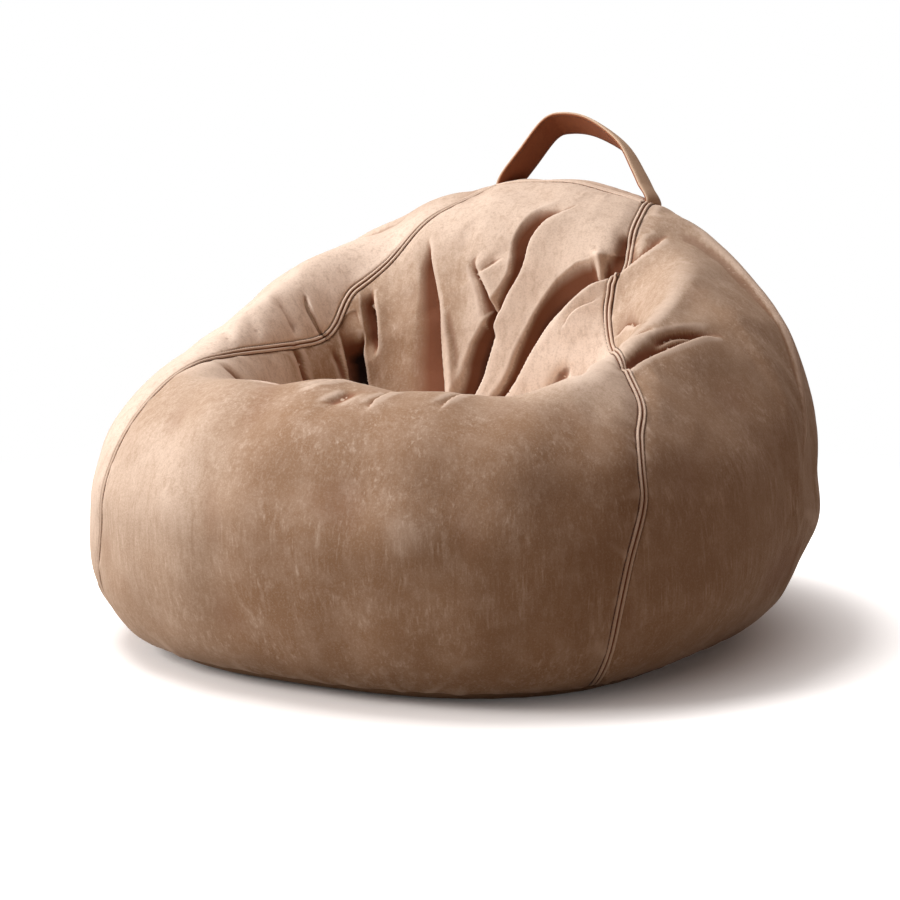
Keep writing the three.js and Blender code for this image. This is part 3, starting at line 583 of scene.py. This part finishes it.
# ---------------- materials
class Nodes:
    """The node tree of a new material or world, with short ways to add nodes and to feed their sockets."""

    def __init__(self, owner):
        owner.use_nodes = True
        self.owner, self.nodes, self.links = owner, owner.node_tree.nodes, owner.node_tree.links
        self.shader = self.nodes.get("Principled BSDF") or self.nodes["Background"]

    def feed(self, target, sockets):
        for name, value in sockets.items():
            socket = target.inputs[name]
            if isinstance(value, bpy.types.NodeSocket):
                self.links.new(value, socket)
            else:
                socket.default_value = (*value, 1) if socket.type == "RGBA" else value

    def shade(self, sockets):
        self.feed(self.shader, sockets)
        return self.owner

    def add(self, kind, sockets=None, **values):
        new = self.nodes.new(kind)
        for key, value in values.items():
            setattr(new, key, value)
        self.feed(new, sockets or {})
        return new

    def place(self):
        return self.add("ShaderNodeTexCoord").outputs["Object"]

    def wave(self, scale, distortion, **values):
        sockets = {"Vector": self.place(), "Scale": scale, "Distortion": distortion}
        return self.add("ShaderNodeTexWave", sockets, **values).outputs["Fac"]

    def seen(self, *kinds):
        """1 for rays of these kinds and 0 for all others."""
        rays = self.add("ShaderNodeLightPath").outputs
        found = rays[f"Is {kinds[0]} Ray"]
        for kind in kinds[1:]:
            found = self.maths("MAXIMUM", found, rays[f"Is {kind} Ray"])
        return found

    def attribute(self, name):
        return self.add("ShaderNodeAttribute", attribute_name=name).outputs["Fac"]

    def maths(self, kind, a, b=0.0):
        return self.add("ShaderNodeMath", {0: a, 1: b}, operation=kind).outputs[0]

    def times(self, a, b):
        return self.maths("MULTIPLY", a, b)

    def blend(self, amount, a, b):
        return self.add("ShaderNodeMix", {0: amount, 6: a, 7: b}, data_type="RGBA").outputs[2]

    def bump(self, height, distance, **more):
        return self.add("ShaderNodeBump", {"Height": height, "Distance": distance, **more}).outputs[0]

    def span(self, value, ends, kind="LINEAR"):
        return self.add("ShaderNodeMapRange", {"Value": value, **ends}, interpolation_type=kind).outputs[0]

    def ramp(self, value, *stops):
        """Grey levels or colours at places along a ramp."""
        new = self.add("ShaderNodeValToRGB", {"Fac": value})
        for element, (at, colour) in zip(new.color_ramp.elements, stops, strict=True):
            element.position = at
            element.color = (colour, colour, colour, 1) if isinstance(colour, float) else (*colour, 1)
        return new.outputs["Color"]


def material(name):
    return Nodes(bpy.data.materials.new(name))


RED_SHADE, BLACK_SHADE = (0.20, 0.07, 0.032), (0.02, 0.006, 0.003)     # in valleys and at their bottom


def leather(name, base, light, dark, grain=1.0, streaks=0.5, sheen=0.12):
    """Nubuck: a soft matt nap with fine grain, cloudy patches and paler streaks down the hide, with painted light and
    shade: paler and darker regions as light falls, paler crests partly rubbed and partly a painted highlight, and
    painted shade in valleys.
    """
    look = material(name)
    place, ramp, times = look.place(), look.ramp, look.times

    def noise(scale, detail=3.0, rough=0.55, stretch=(1, 1, 1), offset=0.0):
        mapped = look.add("ShaderNodeMapping", {"Vector": place, "Scale": stretch, "Location": (offset,) * 3})
        return look.add("ShaderNodeTexNoise", {"Vector": mapped.outputs[0], "Scale": scale, "Detail": detail,
                                               "Roughness": rough}).outputs["Fac"]

    def above(value, low, high, share):
        return times(ramp(value, (low, 0.0), (high, 1.0)), share)

    def below(value, low, high, share):
        return times(ramp(value, (low, 1.0), (high, 0.0)), share)

    painted_light, wear_and_painted_light = look.attribute("painted_light"), look.attribute("wear_and_painted_light")
    cloud = noise(5.5, 4.0, 0.6)
    patch = noise(22.0, 4.0, 0.6, offset=3.1)
    streak = noise(110.0, 4.0, 0.65, (1, 1, 0.13), 7.3)
    scuff = noise(230.0, 2.0, 0.5, (1, 1, 0.1), 1.7)
    area = ramp(noise(16.0, 3.0, 0.6, offset=9.0), (0.42, 0.15), (0.58, 1.0))
    speck = noise(320.0, 3.0, 0.75)
    colour = base
    for over, amount in (
            # Painted light and shade over whole regions: paler where light falls, darker where shade falls.
            (light, times(painted_light, 0.8)),
            (dark, times(painted_light, -0.9)),
            (dark, below(cloud, 0.35, 0.6, 0.2)),
            (light, above(patch, 0.45, 0.7, 0.18)),
            (dark, below(streak, 0.3, 0.5, streaks * 0.6)),
            (light, times(above(streak, 0.48, 0.7, area), streaks * 0.5)),
            (light, times(above(scuff, 0.58, 0.72, area), streaks * 0.6)),
            (dark, below(speck, 0.32, 0.52, 0.3)),
            (light, above(speck, 0.5, 0.7, 0.2)),
            # Paler crests, partly rubbed and partly a painted highlight; painted shade in valleys, red-brown and then
            # near black at their bottom.
            (light, times(wear_and_painted_light, 0.55)),
            (dark, times(wear_and_painted_light, -0.7)),
            (RED_SHADE, times(wear_and_painted_light, -0.9)),
            (BLACK_SHADE, ramp(times(wear_and_painted_light, -0.3), (0.6, 0.0), (1.0, 1.0)))):
        colour = look.blend(amount, colour, over)
    pebble = look.add("ShaderNodeTexVoronoi", {"Vector": place, "Scale": 420.0}).outputs["Distance"]
    height = look.maths("ADD", times(speck, 0.7), times(pebble, 0.35))
    height = look.maths("ADD", height, times(noise(60.0, 3.0, 0.6, offset=5.0), 1.4))
    return look.shade({
        "Base Color": colour, "Roughness": ramp(speck, (0.3, 0.74), (0.7, 0.9)), "Specular IOR Level": 0.3,
        "Sheen Weight": sheen, "Sheen Roughness": 0.45, "Sheen Tint": light,
        "Normal": look.bump(height, 0.0008, Strength=0.5 * grain)})


nubuck = leather("nubuck_tan", (0.50, 0.36, 0.262), (0.80, 0.645, 0.53), (0.30, 0.172, 0.095))
lining = leather("lining_brown", (0.30, 0.095, 0.040), (0.40, 0.15, 0.07), (0.17, 0.05, 0.02), 0.6, 0.2, 0.05)
# The strap's tan is paler than the cover's, partly painted light: its outer face turns away from the lamps.
strap_tan = leather("strap_tan", (0.60, 0.42, 0.29), (0.70, 0.52, 0.38), (0.40, 0.25, 0.155), 0.9, 0.2)
base_leather = leather("base_leather", (0.30, 0.19, 0.12), (0.40, 0.27, 0.18), (0.20, 0.12, 0.07), 0.8, 0.3)

look = material("thread_dark")
thread = look.shade({"Base Color": look.blend(look.wave(900.0, 1.5), (0.05, 0.026, 0.015), (0.11, 0.062, 0.038)),
                     "Roughness": 0.6})


def painted_light_of(name, points, k, u):
    """Painted light and shade, above 0 paler and below 0 darker: the left side panel, the seat and the front's left
    are paler where light falls; the right side, the back, the seat's hollow and low parts are darker where shade
    falls.
    """
    z = points[..., 2]
    low = ease(-z, -330, -40)
    if name == "cover_left":
        return 1.25 - 1.1 * low - 1.3 * ease(k, 10, 12.5) * ease(-k, -20.5, -19)
    if name == "cover_right":
        kink = np.exp(-((k - 5.6) / 0.8) ** 2) * ease(-u, -0.68, -0.58)
        return -0.75 + 0.7 * ease(k, 5.8, 7.6) * ease(-u, -0.76, -0.6) + 0.9 * kink - 0.35 * low
    if name == "cover_back":
        return -0.45 - 0.4 * low
    hollow = ease(k, 6.2, 7.0) * ease(-k, -10.2, -8.6) * ease(-u, 0.05, 0.14)
    arm = ease(u, 0.14, 0.24) * ease(k, 5.0, 6.0) * ease(-k, -9.4, -8.6)
    seat = ease(k, 2.5, 4.4)
    left = ease(-u, 0.02, 0.34)
    front = -1.0 + (1.5 - 0.7 * ease(k, 1.2, 2.4)) * left - (0.3 + 0.7 * left) * low
    return seat * (0.75 + 0.5 * arm - 1.7 * hollow) + (1 - seat) * front


# ---------------- the cover
LEATHER = 2.4     # how thick the leather is
# The share of the simulated slack on the front below the rim, and how much more of it there is elsewhere.
STRETCHED, LOOSER = 0.08, 0.17
for name, node_name, grid, flip, seed in (
        ("cover_front", "front_seat_panel", lambda: middle_grid(front_hem, ridge_line, 204, 420), False, 11),
        ("cover_back", "back_panel", lambda: middle_grid(ridge_line, back_hem, 120, 150), False, 12),
        ("cover_left", "left_side_panel", lambda: side_grid(-1, 519, 165), False, 13),
        ("cover_right", "right_side_panel", lambda: side_grid(1, 519, 165), True, 14)):
    k, u = grid()
    points, out = folded(k, u)
    # How far the folds push the cover in, used for painted shade in the valleys: darker the deeper they go.
    deep = np.clip((-((points - cover(k, u)) * out).sum(-1) - 2) / 9, 0, 3.4)
    coarse = points[::COARSE, ::COARSE]
    corner = 5 if node_name.endswith("side_panel") else 0      # its shortest lines are left out
    move = slacken(coarse[corner:len(coarse) - corner], flip)
    move = finer(np.pad(move, ((corner, corner), (0, 0), (0, 0))), *points.shape[:2])
    points = points + move * (STRETCHED + LOOSER * ease(np.abs(k - 11), 9.5, 6.5))[..., None]
    left, low = run_of(points, 0) + EDGE, run_of(points, 1) + EDGE
    right, high = left[-1:] - left + EDGE, low[:, -1:] - low + EDGE
    first_row, first_line = (np.broadcast_to(run, low.shape)
                             for run in (run_of(points[:, :1], 0), run_of(points[:1], 1)))
    if node_name.endswith("side_panel"):    # from the seam to the hem
        lift = puckers(low, first_row, seed, 3.2) + puckers(high, first_row, seed + 20, 4.0, 60.0, 42.0)
        edges = np.minimum(low, high)
    else:
        lift = puckers(left, first_line, seed, 3.2) + puckers(right, first_line, seed + 20, 3.2)
        hem, ridge = (low, high) if name == "cover_front" else (high, low)
        lift = lift + puckers(hem, first_row, seed + 40, 4.0, 60.0, 42.0) + puckers(ridge, first_row, seed + 60, 1.5)
        edges = np.minimum.reduce([left, right, low, high])
    # The panels stand a little proud between their seams and turn down into the seam's groove.
    lift = lift + 3.0 * (1 - np.exp(-(edges - EDGE) / 16)) - 1.6 * np.exp(-((edges - EDGE) / 1.6) ** 2)
    points = points + out * lift[..., None]
    face = grid_normals(points, flip)
    # Crests are painted paler, partly rubbed and partly a painted highlight. Hollows and fold valleys get painted
    # shade.
    relief = bulge(points, face)
    wear_and_painted_light = np.clip(np.sign(relief) * np.maximum(np.abs(relief) - 0.7, 0), -0.35, 0.8) - deep
    inner = (points - unit(face + out) * LEATHER)[::COARSE, ::COARSE]
    shell(name, points, inner, nubuck, flip, wear_and_painted_light, painted_light_of(name, points, k, u))
    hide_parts(node_name)

# ---------------- seams
RIB = np.array([(-7.1, -1.6), (-6.4, -1.0), (-5.8, 0.6), (-4.8, 2.0), (-3.4, 2.6), (-2.1, 2.1), (-1.1, 0.7),
                (-0.5, -0.6), (0.5, -0.6), (1.1, 0.7), (2.1, 2.1), (3.4, 2.6), (4.8, 2.0), (5.8, 0.6),
                (6.4, -1.0), (7.1, -1.6), (5.2, -3.0), (0.0, -3.4), (-5.2, -3.0)])
# Rows beside the seam's middle, pitch, length of a stitch, radius of the thread, and how high it lies.
SEAM_STITCHES, STRAP_STITCHES = ((-6.3, 6.3), 6.2, 4.6, 0.55, -0.1), ((0,), 5.4, 4.0, 0.5, 0.15)
# Across the seam: paler rib crests, partly rubbed and partly a painted highlight, and painted shade in the grooves at
# its edges and in the ditch in its middle.
RIB_SHADE_AND_WEAR = np.array([-2, -1.6, -.2, .6, .9, .4, -.6, -2, -2, -.6, .4, .9, .6, -.2, -1.6, -2, 0, 0, 0])


def sweep(name, line, across, up, section, material, wear_and_painted_light, ring=False, painted_light=0.0):
    """A closed piece that carries a section [across, up] along a line of points."""
    grid = line[:, None] + across[:, None] * section[None, :, :1] + up[:, None] * section[None, :, 1:]
    n, m = grid.shape[:2]
    index = np.arange(n * m).reshape(n, m)
    if ring:
        faces = quads_of(np.pad(index, ((0, 1), (0, 1)), "wrap"))
    else:
        faces = tube_faces(index)
    return make(name, grid, faces, material, np.broadcast_to(wear_and_painted_light, (n, m)), painted_light=np.full((n, m), painted_light))


def stitches(name, rows, offsets, pitch, length, radius, lift, body="bag"):
    """Rows of thread stitches beside lines (points, across, up): each is a short bar that dips into the
    leather at both ends."""
    turn = np.linspace(0, 2 * math.pi, 7)[:-1]
    part = length * np.array([-0.5, -0.32, 0, 0.32, 0.5])
    drop = np.array([-0.9, -0.15, 0.1, -0.15, -0.9])
    size = radius * np.array([0.6, 1, 1, 1, 0.6])[:, None, None]
    points, faces = [], []
    for line, across, up in rows:
        run = run_of(line)
        at = np.arange(pitch, run[-1] - pitch, pitch)[:, None] + part
        p, a, o = (np.stack([np.interp(at, run, source[:, i]) for i in range(3)], -1) for source in (line, across, up))
        a, o = unit(a), unit(o)
        for offset in offsets:
            centre = p + a * offset + o * (lift + drop)[:, None]
            spoke = a[..., None, :] * np.cos(turn)[:, None] + o[..., None, :] * np.sin(turn)[:, None]
            for bar in centre[..., None, :] + size * spoke:
                faces += tube_faces(30 * len(points) + np.arange(30).reshape(5, 6))
                points.append(bar.reshape(-1, 3))
    return make(name, np.concatenate(points), faces, thread, None, body)


def seam_frame(k, u, ring=False):
    """Line, and unit vectors across and out, of a seam on the folded cover."""
    def direction(line):
        if not ring:
            return unit(np.gradient(line, axis=0))
        wrapped = np.concatenate([line[-1:], line, line[:1]])
        return unit(wrapped[2:] - wrapped[:-2])

    base, out = cover(k, u), normal(k, u)
    way = unit(np.cross(direction(base), out))
    line = fold(base, out)
    across = fold(base + 6 * way, out) - fold(base - 6 * way, out)
    along = direction(line)
    up = unit(np.cross(across, along))
    return line, unit(np.cross(along, up)), up


left_k, right_k, ridge_k = seam_line(-1, 560), seam_line(1, 560), np.full(141, RIDGE)
for name, k, u, gap in (     # the gap is left free at both ends
        ("left", left_k, seam_at(left_k, -1), -1), ("right", right_k, seam_at(right_k, 1), -1),
        ("ridge", ridge_k, line_at(ridge_k, np.linspace(-1, 1, 141)), 7.5)):
    line, across, out = seam_frame(k, u)
    run = run_of(line)
    line, across, out = (x[(run > gap) & (run < run[-1] - gap)] for x in (line, across, out))
    # The seam's ribs take the paler level of the panels' painted light.
    piece = sweep(f"seam_{name}", line, across, out, RIB, nubuck, RIB_SHADE_AND_WEAR, painted_light=0.5)
    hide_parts(f"{name}_seam")
    stitches(f"stitches_{name}", [(line, across, out)], *SEAM_STITCHES)

hem_k, hem_u = hem_ring(150)
line, across, out = seam_frame(hem_k, hem_u, ring=True)
turn = np.linspace(0, 2 * math.pi, 15)[:-1]
piping = np.stack([6.0 * np.cos(turn), -1.2 + 4.2 * np.sin(turn)], -1)
# The piping is painted paler on its upper side and darker underneath: painted light and shade.
piece = sweep("piping", line, across, out, piping, base_leather, 0.3 * np.sin(turn), ring=True)
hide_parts("base_piping")

# ---------------- liner and fill
def inner_skin(name, depth, material, bump=0.0):
    """A closed skin at a depth under the folded cover, with a flat base above the zip."""
    front = middle_grid(front_hem, ridge_line, 40, 80, False)
    rear = middle_grid(ridge_line, back_hem, 40, 30, False)
    grids = [(front, False), (rear, False)]
    for side, edge, flip in ((-1, 0, False), (1, -1, True)):
        stations = np.concatenate([front[0][edge], rear[0][edge][1:]])
        grids.append((side_grid(side, len(stations) - 1, 18, False, stations), flip))
    points, faces, hems = [], [], []
    for (k, u), flip in grids:
        at, out = valleys(k, u)
        at = at - out * (depth + bump * waves(at, 11, 8))[..., None]
        index = sum(map(len, points)) + np.arange(k.size).reshape(k.shape)
        points.append(at.reshape(-1, 3))
        faces += quads_of(index, flip)
        hems.append(index)
    points = np.concatenate(points)
    ring = np.concatenate([hems[0][:-1, 0], hems[3][:-1, -1], hems[1][:0:-1, -1], hems[2][:0:-1, -1]])
    low = points[ring]
    flat = low * (0.86, 0.86, 0) + (0, 0, depth + 12)
    index = len(points) + np.arange(len(ring))
    points = np.concatenate([points, flat])
    walls = np.stack([ring, index], 1)
    faces += quads_of(np.concatenate([walls, walls[:1]]), True) + [index[::-1].tolist()]
    piece = make(name, points, faces, material)
    work = bmesh.new()
    work.from_mesh(piece.data)
    bmesh.ops.remove_doubles(work, verts=work.verts, dist=0.0004)
    bmesh.ops.dissolve_degenerate(work, edges=work.edges, dist=0.0001)
    bmesh.ops.recalc_face_normals(work, faces=work.faces)
    work.to_mesh(piece.data)
    work.free()
    return piece


look = material("liner_cotton")
weave = look.times(*(look.wave(260.0, 0.6, bands_direction=way) for way in "XZ"))
liner_cloth = look.shade({"Base Color": look.blend(weave, (0.62, 0.58, 0.50), (0.76, 0.73, 0.66)),
                          "Normal": look.bump(weave, 0.0004), "Roughness": 0.9})

look = material("foam_beads")
cells = look.add("ShaderNodeTexVoronoi", {"Vector": look.place(), "Scale": 220.0}).outputs["Distance"]
beads = look.shade({"Base Color": look.ramp(cells, (0.0, (0.9, 0.9, 0.88)), (1.0, (0.45, 0.45, 0.43))),
                    "Normal": look.bump(look.maths("SUBTRACT", 1.0, cells), 0.003), "Roughness": 0.7})

LINER_DEPTH, FILL_DEPTH = 9.5, 13.5
liner = inner_skin("liner", LINER_DEPTH, liner_cloth)
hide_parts("liner_upper", "liner_base")
fill = inner_skin("bead_fill", FILL_DEPTH, beads, 0.8)
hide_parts("bean_fill")

# ---------------- handle
STRAP_WIDTH, STRAP_THICK, LINING_THICK, STRAP_LEAN, ROOT_HEIGHT = 54.0, 3.0, 1.8, 27.0, 30.0
STRAP_TURN = (math.radians(-14), math.radians(11))      # about its own length, left leg and right leg
ROOT_STATION, ROOT_STATION_LENGTH, ROOT_LIFT = 11.9, 105.0, 3.0
roots = [cover(ROOT_STATION, u) + ROOT_LIFT * normal(ROOT_STATION, u)
         for u in (seam_at(ROOT_STATION, -1), seam_at(ROOT_STATION, 1))]
span = float(np.linalg.norm(roots[1] - roots[0]))
span_x = unit(roots[1] - roots[0])
lean = math.radians(STRAP_LEAN)
span_up = np.array([0, math.sin(lean), math.cos(lean)])
span_up = unit(span_up - span_x * (span_up @ span_x))
span_front = unit(np.cross(span_x, span_up))
ARCH = [(0, 0), (20, 49), (44, 106), (73, 122), (123, 120), (189, 91), (233, 48), (span, 0)]


# The strap's centre line in its plane.
arch_line = around(np.array([ARCH[0]] + ARCH + [ARCH[-1]] * 2, float), np.linspace(0, len(ARCH) - 1.00001, 1200) + 1)
arch_run = run_of(arch_line)
ARCH_LENGTH = float(arch_run[-1])


def strap_at(length, across, depth):
    """A point of the strap at a length along the arch, a distance across, and a depth under its outer face."""
    p, ahead, behind = (np.stack([np.interp(length + step, arch_run, arch_line[:, i]) for i in (0, 1)], -1)
                        for step in (0, 2, -2))
    along = unit(ahead - behind)
    turn = STRAP_TURN[0] + (STRAP_TURN[1] - STRAP_TURN[0]) * ease(length / ARCH_LENGTH, 0.3, 0.95)
    inward = depth * np.cos(turn) + across * np.sin(turn)
    forward = across * np.cos(turn) - depth * np.sin(turn)
    x, y = p[..., 0] + along[..., 1] * inward, p[..., 1] - along[..., 0] * inward
    return roots[0] + x[..., None] * span_x + y[..., None] * span_up + forward[..., None] * span_front


def root_at(side, t, across, depth):
    """A point of a root: t is 0 where it is sewn into the side seam and 1 at the strap's lower edge."""
    k = ROOT_STATION - across / ROOT_STATION_LENGTH
    sewn, out = folded(k, seam_at(k, side))
    sewn = sewn - out * 2 - side * span_x * depth[..., None]
    end = ROOT_HEIGHT if side < 0 else ARCH_LENGTH - ROOT_HEIGHT
    top = strap_at(across * 0 + end, across, depth)
    ahead = strap_at(across * 0 + end - 30 * side, across, depth) - top
    t = np.asarray(t)[..., None]
    return ((2 * t ** 3 - 3 * t ** 2 + 1) * sewn + (t ** 3 - 2 * t ** 2 + t) * (out * 40)
            + (3 * t ** 2 - 2 * t ** 3) * top + (t ** 3 - t ** 2) * ahead)


def strap_point(s, across, depth):
    """The whole strap from seam to seam: s runs from -1 at the left seam, through 0 to 1, to 2 at the right."""
    s, across, depth = np.broadcast_arrays(np.asarray(s, float), across, depth)
    length = ROOT_HEIGHT + np.clip(s, 0, 1) * (ARCH_LENGTH - 2 * ROOT_HEIGHT)
    at = strap_at(length, across, depth)
    at = np.where((s < 0)[..., None], root_at(-1, np.clip(s + 1, 0, 1), across, depth), at)
    return np.where((s > 1)[..., None], root_at(1, np.clip(2 - s, 0, 1), across, depth), at)


STRAP_RUN = np.concatenate([np.linspace(-1, 0, 13)[:-1], np.linspace(0, 1, 121), np.linspace(1, 2, 13)[1:]])


def strap_layer(name, near, far, material, margin=0.0, crown=0.0):
    """One leather layer of the strap with rounded edges and a padded outer face."""
    half, soft = STRAP_WIDTH / 2 - margin, 1.1
    side = np.linspace(-half + soft, half - soft, 15)
    turn = np.linspace(0, math.pi, 7)[1:-1]
    middle, thick = (near + far) / 2, (far - near) / 2
    section = np.concatenate([
        np.stack([side, near - crown * (1 - (side / half) ** 2)], -1),
        np.stack([half - soft + soft * np.sin(turn), middle - thick * np.cos(turn)], -1),
        np.stack([side[::-1], np.full(15, far)], -1),
        np.stack([-half + soft - soft * np.sin(turn), middle + thick * np.cos(turn)], -1)])
    grid = strap_point(STRAP_RUN[:, None], section[None, :, 0], section[None, :, 1])
    n, m = grid.shape[:2]
    index = np.arange(n * m).reshape(n, m)
    index = np.concatenate([index, index[:, :1]], 1)
    faces = quads_of(index) + [index[0, :-1][::-1].tolist(), index[-1, :-1].tolist()]
    wear_and_painted_light = np.broadcast_to(np.where(np.abs(section[:, 0]) > half - soft - 0.1, 0.8, 0.0), (n, m))
    return make(name, grid, faces, material, wear_and_painted_light, body=None)


handle_pieces = [strap_layer("handle_outer", 0.0, STRAP_THICK, strap_tan, crown=7.0),
                 strap_layer("handle_inner", STRAP_THICK - 0.05, STRAP_THICK + LINING_THICK, lining, 0.3)]
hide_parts("handle_strap", "handle_root_left", "handle_root_right")
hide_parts("handle_lining", "handle_root_lining_left", "handle_root_lining_right")
fine = np.linspace(-0.6, 1.6, 900)
for name, depth, way in (("handle_stitches_outer", 0.0, -1), ("handle_stitches_inner", STRAP_THICK + LINING_THICK, 1)):
    rows = []
    for offset in (-STRAP_WIDTH / 2 + 4.5, STRAP_WIDTH / 2 - 4.5):
        line, beside, over = (strap_point(fine, offset + a, depth + d) for a, d in ((0, 0), (1, 0), (0, way)))
        rows.append((line, unit(beside - line), unit(over - line)))
    piece = stitches(name, rows, *STRAP_STITCHES, body=None)
    handle_pieces.append(piece)
low = (roots[0] + roots[1]) / 2 / 1000
for piece in handle_pieces:
    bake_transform(piece)

# ---------------- base
ring_points = cover(hem_k, hem_u)
ZIP_Y, ZIP_HALF, SLOT_HALF, FOLD_TOP = -15.0, 288.0, 12.0, 9.0
for name, side in (("front", -1), ("rear", 1)):
    half = ring_points[side * (ring_points[:, 1] - ZIP_Y) > 1.0]
    half = half[np.argsort(np.arctan2(side * (half[:, 1] - ZIP_Y), half[:, 0]))]
    turn = np.arctan2(side * (half[:, 1] - ZIP_Y), half[:, 0]) / math.pi
    # Each line runs from the hem to the slot's edge, or to the join of the two halves beyond the slot.
    x = np.cos(turn * math.pi) * np.abs(half[:, 0]).max() * 0.9
    slot = SLOT_HALF * ease(-np.abs(x), -ZIP_HALF - 14, -ZIP_HALF - 8) + 0.3
    end = np.stack([x, ZIP_Y + side * slot, 0 * x + 0.4], -1)
    rows, way = [], unit((end - half) * (1, 1, 0))
    for drop in (3, 6, 10, 16, 24, 36, 52, 75, 105):
        rows.append(half + way * drop)
        rows[-1][:, 2] = 0.35 + 12.0 * np.exp(-drop / 9.0) + 0.5 * np.abs(waves(rows[-1] * (1, 1, 0), 70, 21))
    start = rows[-1]
    for t in np.linspace(0, 1, 22)[1:]:
        rows.append(start + (end - start) * t)
        rows[-1][:, 2] = 0.35 + (1 - t) * 0.5 * np.abs(waves(rows[-1] * (1, 1, 0), 70, 21))
    folded_up = end.copy()
    folded_up[:, 2] = np.where(slot > 6, FOLD_TOP, 1.0)
    rows.append(folded_up)
    outer = np.array(rows)
    inner = outer.copy()
    inner[:, :, 2] += 1.9
    inner[-1, :, 2] -= 1.9
    inner[-2:, :, 1] += side * 1.9
    piece = shell(f"base_{name}", outer, inner, base_leather, side < 0, stride=1)
    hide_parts(f"base_panel_{name}")

# ---------------- zip
look = material("zip_tape")
ribs = look.wave(420.0, 0.8, bands_direction="DIAGONAL")
tape = look.shade({"Base Color": look.blend(ribs, (0.022, 0.013, 0.009), (0.05, 0.032, 0.023)),
                   "Normal": look.bump(ribs, 0.0003), "Roughness": 0.85})
look = material("antique_brass")
tarnish = look.add("ShaderNodeTexNoise", {"Vector": look.place(), "Scale": 240.0, "Detail": 5.0}).outputs["Fac"]
brass = look.shade({"Base Color": look.blend(tarnish, (0.42, 0.30, 0.15), (0.20, 0.13, 0.07)),
                    "Roughness": look.span(tarnish, {"To Min": 0.25, "To Max": 0.55}), "Metallic": 1.0})
for name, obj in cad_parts.items():
    if name.startswith("zip_"):
        obj.data.materials.clear()
        obj.data.materials.append(tape if "tape" in name else brass)

# ---------------- camera, floor and light
AZIMUTH, ELEVATION, DISTANCE, TARGET = 27.0, 8.8, 3.6, Vector((0, 0, 0.30))


def aimed(name, data, azimuth, elevation, distance):
    """A camera or lamp at a bearing, aimed at the bag."""
    obj = added(name, data)
    a, e = math.radians(azimuth), math.radians(elevation)
    way = Vector((math.sin(a) * math.cos(e), -math.cos(a) * math.cos(e), math.sin(e)))
    obj.location = TARGET + way * distance
    obj.rotation_mode = "QUATERNION"
    obj.rotation_quaternion = way.to_track_quat("Z", "Y")
    return obj


camera = aimed("camera", bpy.data.cameras.new("camera"), AZIMUTH, ELEVATION, DISTANCE)
bpy.context.scene.camera = camera
camera.data.lens, camera.data.sensor_width = 91.5, 36
camera.data.shift_x, camera.data.shift_y = -0.0089, -0.0144

floor_mesh = bpy.data.meshes.new("floor")
floor_mesh.from_pydata([(-30, -30, 0), (30, -30, 0), (30, 30, 0), (-30, 30, 0)], [], [(0, 1, 2, 3)])
floor = added("floor", floor_mesh)
look = material("floor_white")
seen = look.seen("Camera", "Glossy", "Transmission")
# Away from the bag the floor glows faintly for the camera, a painted light that pales the bag's shadow there, and then
# fades to plain white: no horizon shows.
away = look.add("ShaderNodeVectorMath", {0: look.place()}, operation="LENGTH").outputs["Value"]
shadow_paling_glow = look.span(away, {"From Min": 0.42, "From Max": 0.86, "To Min": 0.02, "To Max": 1.0}, "SMOOTHSTEP")
far = look.span(away, {"From Min": 0.8, "From Max": 1.9}, "SMOOTHSTEP")
look.shade({"Base Color": look.blend(seen, (0.30, 0.24, 0.19), (0.93, 0.90, 0.88)), "Roughness": 0.9,
            "Emission Color": (1, 1, 1), "Emission Strength": look.times(seen, shadow_paling_glow)})
white = look.add("ShaderNodeEmission")
mixed = look.add("ShaderNodeMixShader",
                 {0: look.times(far, seen), 1: look.shader.outputs[0], 2: white.outputs[0]})
look.feed(look.nodes["Material Output"], {"Surface": mixed.outputs[0]})
floor_mesh.materials.append(look.owner)

sky = Nodes(bpy.data.worlds.new("world"))
bpy.context.scene.world = sky.owner
seen = sky.seen("Camera", "Glossy")
sky.shade({"Color": sky.blend(seen, (1.0, 0.55, 0.35), (1, 1, 1)),
           "Strength": sky.span(seen, {"To Min": 0.15, "To Max": 1.0})})

for name, turn, elevation, power in (("key", -72, 27, 300), ("top", -105, 70, 270)):
    lamp = bpy.data.lights.new(name, "AREA")
    lamp.size, lamp.energy = 2.8, power
    aimed(name, lamp, AZIMUTH + turn, elevation, 6.0)
bpy.context.scene.view_settings.view_transform = "Standard"
